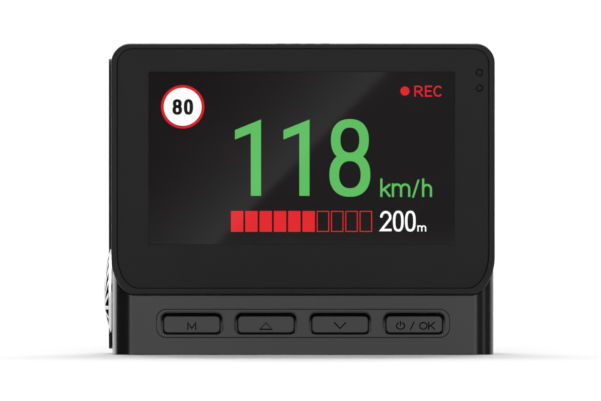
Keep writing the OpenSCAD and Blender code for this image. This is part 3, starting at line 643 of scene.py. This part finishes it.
# Lines of each letter in the unit square: points, and whether the line closes
LINES = {
    "k": [([(0, 0), (0, 1)], False), ([(0.95, 0.67), (0.05, 0.3)], False),
          ([(0.33, 0.42), (0.97, 0.0)], False)],
    "h": [([(0, 0), (0, 1)], False),
          ([(0, 0.46)] + arc(0.5, 0.42, 0.5, 0.25, 150, 0, 10) + [(1, 0)], False)],
    "m": [([(0, 0), (0, 1)], False),
          ([(0, 0.66)] + arc(0.25, 0.64, 0.25, 0.36, 150, 0, 8) + [(0.5, 0)], False),
          ([(0.5, 0.66)] + arc(0.75, 0.64, 0.25, 0.36, 150, 0, 8) + [(1, 0)], False)],
    "/": [([(0, 0), (1, 1)], False)],
    "R": [([(0, 0), (0, 1)], False),
          ([(0, 1), (0.45, 1)] + arc(0.45, 0.74, 0.5, 0.26, 80, -80, 8)
           + [(0.45, 0.48), (0, 0.48)], False),
          ([(0.5, 0.46), (1, 0)], False)],
    "E": [([(1, 1), (0, 1), (0, 0), (1, 0)], False), ([(0, 0.52), (0.85, 0.52)], False)],
    "C": [(arc(0.5, 0.5, 0.5, 0.5, 48, 312, 22), False)],
    "M": [([(0, 0), (0, 1), (0.5, 0.12), (1, 1), (1, 0)], False)],
    "O": [(arc(0.5, 0.5, 0.5, 0.5, 0, 345, 23), True)],
    "K": [([(0, 0), (0, 1)], False), ([(0.95, 1), (0.02, 0.34)], False),
          ([(0.34, 0.58), (1, 0)], False)],
    "2": [([(0.02, 0.76)] + arc(0.5, 0.72, 0.48, 0.28, 165, -22, 14)
           + [(0.03, 0.0), (1, 0)], False)],
    "up": [([(0, 0), (1, 0), (0.5, 1)], True)],
    "down": [([(0, 1), (0.5, 0.05), (1, 1)], False)],
    "power": [(arc(0.5, 0.45, 0.5, 0.45, 122, 418, 20), False), ([(0.5, 0.55), (0.5, 1)], False)],
}


def letter(name, x0, x1, z0, z1, width):
    """Outlines of a letter whose lines of this width just fill the box"""
    half = width / 2

    def placed(points):
        return [(x0 + half + u * (x1 - x0 - width), z0 + half + v * (z1 - z0 - width))
                for u, v in points]

    return [stroke(placed(points), width, closed) for points, closed in LINES[name]]


def zero(x0, x1, z0, z1, side, cap, power):
    return [[oval(x0, x1, z0, z1, power), oval(x0 + side, x1 - side, z0 + cap, z1 - cap, power)]]


def eight(x0, x1, z0, z1, side, cap, waist, shy):
    """Outlines of an eight: two rounded loops that share the waist, the upper narrower by shy"""
    half = cap / 2
    return (zero(x0 + shy, x1 - shy, waist - half, z1, side - 0.1 * shy, cap, 2.3)
            + zero(x0, x1, z0, waist + half, side, cap, 2.3))


def one(x, z0, z1, stem, reach, flag_top, flag_low, notch):
    """Outline of a plain one with a slanted flag: x is its right side"""
    return [[[(x, z1), (x, z0), (x - stem, z0), (x - stem, notch),
              (x - reach, flag_low), (x - reach, flag_top)]]]


def flat_sign(name, shapes, place, depth, material, body):
    """Flat outlines in millimetres, given a little depth, stood up and put in place"""
    made = []
    for outlines in shapes:
        curve = bpy.data.curves.new(name, "CURVE")
        curve.dimensions = "2D"
        curve.fill_mode = "BOTH"
        curve.extrude = depth / 2
        for outline in outlines:
            line = curve.splines.new("POLY")
            line.points.add(len(outline) - 1)
            for point, (x, z) in zip(line.points, outline):
                point.co = (x * MM, z * MM, 0, 1)
            line.use_cyclic_u = True
        made.append(linked(name, curve))
    only(*made)
    bpy.ops.object.convert(target="MESH")
    parts = list(bpy.context.selected_objects)
    only(*parts)
    if len(parts) > 1:
        bpy.ops.object.join()
    sign = bpy.context.view_layer.objects.active
    sign.name = name
    sign.matrix_world = place
    only(sign)
    bpy.ops.object.transform_apply(location=True, rotation=True, scale=True)
    edit(sign)
    close_up()
    leave_edit()
    paint(sign, material)
    carry(sign, body)


def reading(name, shapes, material, layer=1):
    """A lit sign on the display, placed from the glass's middle, in a layer over the glass"""
    lift = sizes().reading_lift
    place = Matrix.Translation((GLASS_X, GLASS_LOW.y - lift * layer, GLASS_Z)) @ UPRIGHT
    flat_sign(name, shapes, place, lift, material, "housing")


# ---------------------------------------------------------------- operators


class DETECTOR_OT_finishes(bpy.types.Operator):
    """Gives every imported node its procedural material"""

    bl_idname = "detector.finishes"
    bl_label = "Node Finishes"

    def execute(self, context):
        for node, part in frame["nodes"].items():
            for slot in part.material_slots:
                slot.material = finish_of(SLOTS[node])
        return {"FINISHED"}


class DETECTOR_OT_front_frame(bpy.types.Operator):
    """Front frame with a rounded outer edge, and the face plate inside it"""

    bl_idname = "detector.front_frame"
    bl_label = "Front Frame"

    def execute(self, context):
        edge = sizes().frame_round
        front, seat = FRAME_LOW.y, FRAME_HIGH.y
        gap, lip, margin, ledge_w = 0.15 * MM, 0.12 * MM, 0.05 * MM, 1.6 * MM

        def outer(inset, y):
            return fascia(FRAME_LOW, FRAME_HIGH, FRAME_CORNERS, -inset, y)

        def opening(grow, y):
            return fascia(PLATE_LOW, PLATE_HIGH, PLATE_CORNERS, grow, y)

        def quarter(steps):
            turns = [math.radians(90 * step / steps) for step in range(steps + 1)]
            return [(1 - math.cos(turn), 1 - math.sin(turn)) for turn in turns]

        rings = [outer(0, seat)]
        rings += [outer(edge * a, front + edge * b) for a, b in quarter(4)]
        rings += [outer(edge + margin, front), opening(gap + lip + margin, front)]
        rings += [opening(gap + lip * b, front + lip * a) for a, b in quarter(2)]
        rings += [opening(gap, PLATE_HIGH.y), opening(-ledge_w, PLATE_HIGH.y),
                  opening(-ledge_w, seat)]
        ring = ringed("front_frame_ring", rings)
        smooth(ring, flat=math.inf)
        paint(ring, finish_of("frame_plastic"))
        carry(ring, "housing", "front_frame")
        dressed("face_plate", "face_plate_panel", "housing",
                [(lambda m: m.y < PLATE_LOW.y + TINY / 2, 0.07 * MM, 2)])
        return {"FINISHED"}


def outside_case(m):
    """True for a place on the case's outer skin"""
    return abs(m.x) > 39.9 * MM or m.z < 1.0 * MM or m.z > 65.8 * MM


class DETECTOR_OT_case(bpy.types.Operator):
    """Front and rear housings with rounded edges and seam, and the left side cover"""

    bl_idname = "detector.case"
    bl_label = "Case"

    def execute(self, context):
        case, seam, rear_round = sizes().case_round, sizes().seam_round, 0.6 * MM
        side = FRONT_HIGH.x
        beside = 0.05 * MM

        def foot(m):
            return m.z < TINY and m.y < SPLIT_Y - TINY and outside_case(m)

        def panel_hole(m):
            local = PANEL.inverted() @ m
            return abs(local.y) < TINY and 2 * MM < local.z < 12 * MM and abs(m.x) < 34 * MM

        def split(m):
            return abs(m.y - SPLIT_Y) < TINY and outside_case(m)

        def side_holes(m):
            return abs(abs(m.x) - side) < TINY and -9 * MM < m.y < SPLIT_Y - TINY and m.z > TINY

        def rear_rim(m):
            return abs(m.y - REAR_HIGH.y) < TINY and outside_case(m)

        def rear_holes(m):
            return abs(m.y - REAR_HIGH.y) < TINY and not outside_case(m)

        front = dressed(
            "front_housing", "front_housing_shell", "housing",
            [(foot, case, 3), (panel_hole, 0.05 * MM, 2), (split, seam, 2),
             (side_holes, 0.12 * MM, 2)],
            [((0, 0, case + beside), (0, 0, 1)), ((0, SPLIT_Y - seam - beside, 0), (0, 1, 0))])
        rear = dressed(
            "rear_housing", "rear_housing_shell", "housing",
            [(rear_rim, rear_round, 3), (rear_holes, 0.18 * MM, 2), (split, seam, 2)],
            [((0, REAR_HIGH.y - rear_round - beside, 0), (0, 1, 0)),
             ((0, SPLIT_Y + seam + beside, 0), (0, 1, 0))])

        top_r, base_r = 3.8 * MM, 4.2 * MM
        tops = [(Vector((x * (side - top_r), 0, FRONT_HIGH.z - top_r)), Vector((0, 1, 0)), top_r)
                for x in (-1, 1)]
        lean = (PANEL.to_3x3() @ Vector((0, 0, 1))).normalized()
        bases = [(PANEL @ Vector((x * (side - base_r), base_r, 0)), lean, base_r) for x in (-1, 1)]
        true_rounds(front, tops + bases)
        true_rounds(rear, tops + [(AXIS, Vector((1, 0, 0)), AXIS.z)])
        dressed("left_side_cover", "left_side_plate", "housing",
                [(lambda m: abs(m.x - COVER_LOW.x) < TINY, 0.14 * MM, 3)])
        return {"FINISHED"}


class DETECTOR_OT_keys(bpy.types.Operator):
    """Button frame, four keys with rounded faces, and the marks printed on them"""

    bl_idname = "detector.keys"
    bl_label = "Keys"

    def execute(self, context):
        to_panel = PANEL.inverted()
        dressed("button_frame", "button_frame_insert", "housing",
                [(lambda m: abs((to_panel @ m).y) < TINY, 0.05 * MM, 2)])
        ink = moulded("Key print", (0.002, 0.002, 0.002), 0.7, depth=0.001 * MM, specular=0.0)
        marks = {
            "mode_key": letter("M", -0.98, 0.98, -1.2, 0.52, 0.27),
            "up_key": letter("up", -1.4, 1.4, -1.18, 0.46, 0.16)
            + [[box_outline(-1.4, 1.4, -1.22, -0.95)]],
            "down_key": letter("down", -1.35, 1.35, -1.1, 0.55, 0.26),
            "power_key": letter("power", -3.97, -1.98, -1.2, 0.75, 0.25)
            + letter("/", -0.95, 0.07, -1.27, 0.62, 0.25)
            + letter("O", 1.05, 2.88, -1.2, 0.57, 0.26) + letter("K", 3.0, 4.54, -1.2, 0.57, 0.26),
        }
        for key, body in KEYS.items():
            dressed(key, key + "_cap", body,
                    [(lambda m: abs((to_panel @ m).y - KEY_RECESS) < TINY, sizes().key_round, 3)])
            low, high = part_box(key)
            place = PANEL @ Matrix.Translation(
                ((low.x + high.x) / 2, KEY_RECESS - 0.01 * MM, KEY_RISE)) @ UPRIGHT
            flat_sign(key + "_mark", marks[key], place, 0.02 * MM, ink, body)
        return {"FINISHED"}


class DETECTOR_OT_knob(bpy.types.Operator):
    """Domed knob: turned metal body, slanted bright ribs, grooves and rib sides painted black as
    shade
    """

    bl_idname = "detector.knob"
    bl_label = "Tilt Knob"

    def execute(self, context):
        crown, face, rim_x, inner = KNOB_LOW.x, COVER_LOW.x, FRAME_LOW.x, KNOB_HIGH.x
        dome_r, rim_r, groove_r = 7.9 * MM, 9.17 * MM, 7.6 * MM
        collar_r, journal_r = 11.0 * MM, 10.1 * MM
        rise = face - crown
        ball = (dome_r ** 2 + rise ** 2) / (2 * rise)
        width, slant, count = sizes().rib_width, sizes().rib_slant, sizes().rib_count
        hub_r = slant + width + 0.2 * MM
        sink, edge, steps = 0.42 * MM, 0.12 * MM, 10

        def dome(radius, drop=0.0):
            """Place along the axis of a point of the dome, or of a dome sunk into it"""
            return crown + drop + ball - math.sqrt(ball ** 2 - radius ** 2)

        hub = [(dome(hub_r * i / steps), hub_r * i / steps) for i in range(steps)]
        hub += [(dome(hub_r - edge), hub_r - edge), (dome(hub_r) + edge, hub_r),
                (dome(hub_r, sink), hub_r)]
        floor_r = [hub_r + (groove_r - hub_r) * i / steps for i in range(1, steps + 1)]
        floor = [(dome(radius, sink), radius) for radius in floor_r]
        rim = [(face + 0.02 * MM, 7.68 * MM), (face - 0.02 * MM, 7.78 * MM), (face, dome_r),
               (rim_x - 0.06 * MM, rim_r - 0.1 * MM), (rim_x + 0.04 * MM, rim_r),
               (rim_x + 0.3 * MM, rim_r)]
        back = [(inner - 2.0 * MM, rim_r), (inner - 2.0 * MM, collar_r),
                (inner - 1.4 * MM, collar_r), (inner - 1.4 * MM, journal_r),
                (inner, journal_r), (inner, 0.0)]
        body = spun("tilt_knob_body", hub + floor + rim + back)
        bright = finish_of("knob_metal")
        # painted shade: a black finish with no gloss for the sunken grooves and rib sides, so they
        # stay dark
        groove_shade = moulded("Knob groove painted shade", (0.005, 0.005, 0.005), 0.9, specular=0.0)
        paint(body, bright, groove_shade)
        # painted shade: the groove floor between hub and rim takes the black finish
        for side in body.data.polygons:
            radius = math.hypot(side.center.y - AXIS.y, side.center.z - AXIS.z)
            if hub_r - TINY < radius < groove_r + 2 * TINY and side.center.x < rim_x:
                side.material_index = 1
        smooth(body, 32, flat=math.inf)
        carry(body, "camera_barrel", "tilt_knob")

        rib = added(bpy.ops.mesh.primitive_cube_add, size=1)
        edit(rib)
        pick_edges(rib, lambda edge: abs(edge.verts[0].co.z - edge.verts[1].co.z) > 0.5)
        bpy.ops.mesh.subdivide(number_cuts=steps)
        mesh = bmesh.from_edit_mesh(rib.data)
        for vert in mesh.verts:
            y = -slant - width * (vert.co.y + 0.5)
            start = math.sqrt((hub_r - 0.15 * MM) ** 2 - y ** 2)
            stop = math.sqrt((groove_r + TINY) ** 2 - y ** 2)
            z = start + (stop - start) * (vert.co.z + 0.5)
            x = dome(math.hypot(y, z), 0 if vert.co.x < 0 else sink + 0.05 * MM)
            vert.co = AXIS + Vector((x, y, z))
        bmesh.update_edit_mesh(rib.data)
        close_up()
        round_off(rib, lambda m: True, 0.13 * MM, 2)
        leave_edit()
        ribs = [rib]
        for i in range(1, count):
            turn = Matrix.Rotation(2 * math.pi * i / count, 4, "X")
            copy = linked("rib", rib.data.copy())
            copy.data.transform(Matrix.Translation(AXIS) @ turn @ Matrix.Translation(-AXIS))
            ribs.append(copy)
        only(*ribs)
        bpy.ops.object.join()
        ring = bpy.context.view_layer.objects.active
        ring.name = "tilt_knob_ribs"
        paint(ring, bright, groove_shade)
        heart = AXIS + Vector((crown + ball, 0, 0))
        # painted shade: every rib face but the top takes the black finish
        for side in ring.data.polygons:
            side.material_index = 0 if (side.center - heart).length > ball - 0.07 * MM else 1
        smooth(ring, flat=math.inf)
        carry(ring, "camera_barrel")
        return {"FINISHED"}


class DETECTOR_OT_camera(bpy.types.Operator):
    """Camera barrel and lens nose with rounded edges"""

    bl_idname = "detector.camera"
    bl_label = "Camera Barrel"

    def execute(self, context):
        def barrel_edges(m):
            radius = math.hypot(m.y - AXIS.y, m.z - AXIS.z)
            return radius > 10.6 * MM and m.y < NOSE_HIGH.y

        def nose_edges(m):
            return m.y > NOSE_HIGH.y - 0.05 * MM

        dressed("barrel_shell", "camera_barrel_shell", "camera_barrel",
                [(barrel_edges, 0.15 * MM, 2)])
        dressed("lens_nose", "lens_nose_ring", "camera_barrel", [(nose_edges, 0.12 * MM, 2)])
        return {"FINISHED"}


class DETECTOR_OT_rear(bpy.types.Operator):
    """Radome panel, laser lens and speaker grille with rounded edges"""

    bl_idname = "detector.rear"
    bl_label = "Rear Panels"

    def execute(self, context):
        radome_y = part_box("radome_panel")[1].y
        low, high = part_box("speaker_grille")
        band = 0.9 * MM

        def panel_rim(m):
            return m.y > radome_y - TINY

        def grille_rim(m):
            inside = (low.x + band < m.x < high.x - band and low.z + band < m.z < high.z - band)
            return m.y > high.y - TINY and not inside

        dressed("radome_panel", "radome_cover", "housing", [(panel_rim, 0.25 * MM, 3)])
        dressed("laser_lens", "laser_window", "housing", [(panel_rim, 0.25 * MM, 3)])
        dressed("speaker_grille", "speaker_grille_cover", "housing", [(grille_rim, 0.12 * MM, 2)])
        return {"FINISHED"}


class DETECTOR_OT_speed(bpy.types.Operator):
    """Lit speed reading and its unit"""

    bl_idname = "detector.speed"
    bl_label = "Speed Reading"

    def execute(self, context):
        green = lit("Lit speed", colours().speed)
        reading("reading_speed",
                one(-8.86, -8.17, 8.39, 2.2, 5.64, 6.09, 4.07, 5.44)
                + one(1.67, -8.17, 8.39, 2.2, 5.64, 6.09, 4.07, 5.44)
                + eight(6.01, 14.87, -8.37, 8.48, 2.07, 1.82, 0.28, 0.33), green)
        reading("reading_unit",
                letter("k", 17.05, 19.3, -8.41, -4.42, 0.46)
                + letter("m", 19.56, 23.55, -8.41, -5.48, 0.46)
                + letter("/", 23.97, 25.5, -8.59, -4.66, 0.4)
                + letter("h", 26.12, 28.27, -8.41, -4.42, 0.46), green)
        return {"FINISHED"}


class DETECTOR_OT_limit_sign(bpy.types.Operator):
    """Lit speed limit sign: red ring, white disc and number"""

    bl_idname = "detector.limit_sign"
    bl_label = "Limit Sign"

    def execute(self, context):
        x, z, outer, inner, steps = -25.86, 11.15, 4.71, 4.1, 96
        red = lit("Lit ring", shade(colours().alert, 0.88))
        reading("reading_limit_ring", [[disc(x, z, outer, steps), disc(x, z, inner, steps)]], red)
        reading("reading_limit_disc", [[disc(x, z, inner, steps)]],
                lit("Lit disc", colours().white))
        reading("reading_limit_number",
                eight(-28.09, -25.97, 9.41, 12.82, 0.78, 0.64, 11.2, 0.08)
                + zero(-25.62, -23.58, 9.41, 12.82, 0.78, 0.64, 2.5),
                lit("Dark number", (0.008, 0.008, 0.008)), layer=2)
        return {"FINISHED"}


class DETECTOR_OT_distance(bpy.types.Operator):
    """Lit distance bars and the distance in metres"""

    bl_idname = "detector.distance"
    bl_label = "Distance Reading"

    def execute(self, context):
        first, pitch, width, low, high, line = -15.37, 3.1045, 2.67, -15.99, -11.47, 0.17
        full = 6
        cells = []
        for i in range(10):
            x = first + i * pitch
            cell = [box_outline(x, x + width, low, high)]
            if i >= full:
                cell.append(box_outline(x + line, x + width - line, low + line, high - line))
            cells.append(cell)
        reading("reading_bars", cells, lit("Lit bars", colours().alert))
        reading("reading_distance",
                letter("2", 16.98, 19.5, -15.86, -11.45, 0.52)
                + zero(19.8, 22.1, -15.94, -11.42, 0.52, 0.5, 2.6)
                + zero(22.42, 24.72, -15.94, -11.42, 0.52, 0.5, 2.6)
                + letter("m", 25.1, 27.01, -15.92, -14.6, 0.26),
                lit("Lit distance", colours().white))
        return {"FINISHED"}


class DETECTOR_OT_recording(bpy.types.Operator):
    """Lit recording mark: a red dot and three letters"""

    bl_idname = "detector.recording"
    bl_label = "Recording Mark"

    def execute(self, context):
        low, high, line = 13.34, 15.73, 0.3
        reading("reading_recording",
                [[disc(22.4, 14.58, 0.98, 48)]]
                + letter("R", 24.44, 26.31, low, high, line)
                + letter("E", 26.75, 28.29, low, high, line)
                + letter("C", 28.59, 30.59, low, high, line),
                lit("Lit recording mark", colours().alert))
        return {"FINISHED"}


# ---------------------------------------------------------------- stage


def glow(name, level):
    """Material of a card that gives plain light; level is its strength, or adds nodes for it"""
    material, tree, _ = new_material(name)
    tree.nodes.clear()
    light = add_node(tree, "Emission", {"Strength": level(tree) if callable(level) else level})
    add_node(tree, "OutputMaterial", {"Surface": light.outputs["Emission"]})
    return material


def reflection_card(card, name, level):
    """Makes the object a card of light that is seen in reflections only"""
    card.name = name
    paint(card, glow(name, level))
    for ray in ("camera", "diffuse", "transmission", "volume_scatter", "shadow"):
        setattr(card, "visible_" + ray, False)


def curved_card(name, level, distance, az0, az1, el0, el1, steps):
    """Card on part of a cylinder round the object; azimuth 0 is the front, elevation in degrees"""
    middle = 33 * MM
    low = middle + distance * math.tan(math.radians(el0))
    high = middle + distance * math.tan(math.radians(el1))
    card = added(bpy.ops.mesh.primitive_grid_add, x_subdivisions=steps, y_subdivisions=1, size=1)
    edit(card)
    mesh = bmesh.from_edit_mesh(card.data)
    for vert in mesh.verts:
        azimuth = math.radians(az0 + (az1 - az0) * (vert.co.x + 0.5))
        vert.co = (distance * math.sin(azimuth), -distance * math.cos(azimuth),
                   low + (high - low) * (vert.co.y + 0.5))
    bmesh.update_edit_mesh(card.data)
    leave_edit()
    reflection_card(card, name, level)


def panel_level(tree):
    """Level across the panel's softbox: brighter to the left, with a bright strip at both ends"""
    brightest, reach = 3.0, 0.2
    levels = ((0.08, 0.0), (0.24, 2.2), (0.34, 2.05), (0.39, 1.52),
              (0.61, 1.08), (0.66, 2.3), (0.78, 2.3), (0.98, 0.0))
    coords = add_node(tree, "TexCoord").outputs["Object"]
    parts = add_node(tree, "SeparateXYZ", {"Vector": coords})
    across = add_node(tree, "MapRange", {"Value": parts.outputs["X"],
                                         "From Min": -reach, "From Max": reach})
    ramp = add_node(tree, "ValToRGB", {"Fac": across.outputs["Result"]})
    stops = ramp.color_ramp.elements
    for index, (place, level) in enumerate(levels):
        stop = stops[index] if index < 2 else stops.new(place)
        stop.position = place
        stop.color = (*[level / brightest] * 3, 1)
    return add_node(tree, "Math", {0: ramp.outputs["Color"], 1: brightest},
                    operation="MULTIPLY").outputs[0]


def display_card():
    """Slanted pale card behind the camera, whose edge crosses the display's reflection"""
    y, far, brightest, falloff = -0.5, 0.04, 0.6, 3.0

    def mirrored(x, z):
        """The place on the card that the camera sees at a place on the glass"""
        return Vector((x, y, z + (GLASS_LOW.y - y) * SIGHT.z / SIGHT.y))

    top, foot = mirrored(18.08 * MM, 61.37 * MM), mirrored(-18.93 * MM, 24.03 * MM)
    edge = (top - foot).normalized()
    away = Vector((-edge.z, 0, edge.x))
    card = added(bpy.ops.mesh.primitive_plane_add, size=1)
    edit(card)
    mesh = bmesh.from_edit_mesh(card.data)
    for vert in mesh.verts:
        along = foot + (top - foot) * (0.5 + 1.8 * vert.co.x)
        vert.co = along + away * far * (vert.co.y + 0.5)
    bmesh.update_edit_mesh(card.data)
    leave_edit()

    def fading(tree):
        coords = add_node(tree, "TexCoord").outputs["Object"]
        dot = add_node(tree, "VectorMath", {0: coords, 1: away}, operation="DOT_PRODUCT")
        start = foot.dot(away)
        ramp = add_node(tree, "MapRange", {
            "Value": dot.outputs["Value"], "From Min": start, "From Max": start + far,
            "To Min": 1.0, "To Max": 0.0})
        steep = add_node(tree, "Math", {0: ramp.outputs["Result"], 1: falloff}, operation="POWER")
        return add_node(tree, "Math", {0: steep.outputs[0], 1: brightest},
                        operation="MULTIPLY").outputs[0]

    reflection_card(card, "Display card", fading)


def seen_rays(tree):
    """1 for camera, mirror and see-through rays, 0 for the rays that light the object"""
    path = add_node(tree, "LightPath")
    total = path.outputs["Is Camera Ray"]
    for name in ("Is Glossy Ray", "Is Transmission Ray"):
        total = add_node(tree, "Math", {0: total, 1: path.outputs[name]},
                         operation="MAXIMUM").outputs[0]
    return total


def sun(name, energy, angle, direction):
    """Soft light from far away, which mirrors don't see"""
    light = bpy.data.lights.new(name, "SUN")
    light.energy = energy
    light.angle = math.radians(angle)
    lamp = linked(name, light)
    lamp.rotation_euler = Vector(direction).to_track_quat("Z", "Y").to_euler()
    lamp.visible_glossy = False


# Cards that the object mirrors: name, level, distance in metres, azimuths, elevations, facets
CARDS = (
    ("Front flag", 0.09, 1.7, -24, 24, -35, 21, 24),
    ("Left flag", 0.015, 1.6, -106, -23, -35, 66, 48),
    ("Left rim light", 3.0, 1.6, -150, -111, -3, 45, 32),
    ("Right flag", 0.11, 1.6, 23, 116, -35, 66, 48),
    ("Right corner strip", 0.9, 1.55, 58, 72, -35, 66, 4),
    ("Panel softbox", panel_level, 0.45, -24, 24, 20, 42, 24),
)


class DETECTOR_OT_stage(bpy.types.Operator):
    """Pale floor, white surroundings, soft light, reflection cards and the camera"""

    bl_idname = "detector.stage"
    bl_label = "Stage"

    def execute(self, context):
        scene = context.scene
        scene.view_settings.view_transform = "Standard"
        camera = bpy.data.cameras.new("Camera")
        camera.type = "ORTHO"
        camera.ortho_scale = PICTURE_WIDTH
        camera.clip_start, camera.clip_end = 0.02, 100
        scene.camera = linked("Camera", camera)
        scene.camera.location = PICTURE_MIDDLE - SIGHT
        scene.camera.rotation_euler = SIGHT.to_track_quat("-Z", "Y").to_euler()

        scene.world = bpy.data.worlds.new("Studio")
        scene.world.use_nodes = True
        tree = scene.world.node_tree
        lighting, seen = 0.32, 1.0
        level = add_node(tree, "MapRange",
                         {"Value": seen_rays(tree), "To Min": lighting, "To Max": seen})
        set_inputs(tree, tree.nodes["Background"],
                   {"Strength": level.outputs["Result"], "Color": (1, 1, 1, 1)})

        floor = added(bpy.ops.mesh.primitive_circle_add, vertices=64, radius=12, fill_type="NGON")
        floor.name = "Floor"
        paper, tree, shader = new_material("Floor paper")
        set_inputs(tree, shader, {"Base Color": (0.92, 0.92, 0.92, 1), "Roughness": 1.0,
                                  "Specular IOR Level": 0.0})
        paint(floor, paper)

        sun("Key from above and behind", 3.4, 40, (0, 0.8, 0.6))
        sun("Low front fill", 1.9, 50, (0, -1.0, 0.28))
        for card in CARDS:
            curved_card(*card)
        display_card()
        return {"FINISHED"}


# ---------------------------------------------------------------- panel and run

STEPS = (
    DETECTOR_OT_stage,
    DETECTOR_OT_finishes,
    DETECTOR_OT_front_frame,
    DETECTOR_OT_case,
    DETECTOR_OT_keys,
    DETECTOR_OT_knob,
    DETECTOR_OT_camera,
    DETECTOR_OT_rear,
    DETECTOR_OT_speed,
    DETECTOR_OT_limit_sign,
    DETECTOR_OT_distance,
    DETECTOR_OT_recording,
)


class DETECTOR_PT_panel(bpy.types.Panel):
    """Radar detector tools"""

    bl_label = "Radar Detector"
    bl_idname = "DETECTOR_PT_panel"
    bl_space_type = "VIEW_3D"
    bl_region_type = "UI"
    bl_category = "Detector"

    def draw(self, context):
        layout = self.layout
        for group in (context.scene.detector_sizes, context.scene.detector_colours):
            box = layout.box()
            for name in group.__annotations__:
                box.prop(group, name)
        for step in STEPS:
            layout.operator(step.bl_idname)


CLASSES = (DetectorSizes, DetectorColours, *STEPS, DETECTOR_PT_panel)


def register():
    for cls in CLASSES:
        bpy.utils.register_class(cls)
    bpy.types.Scene.detector_sizes = PointerProperty(type=DetectorSizes)
    bpy.types.Scene.detector_colours = PointerProperty(type=DetectorColours)


def unregister():
    del bpy.types.Scene.detector_colours
    del bpy.types.Scene.detector_sizes
    for cls in reversed(CLASSES):
        bpy.utils.unregister_class(cls)


def main():
    register()
    for step in STEPS:
        group, name = step.bl_idname.split(".")
        getattr(getattr(bpy.ops, group), name)()


if __name__ == "__main__":
    main()
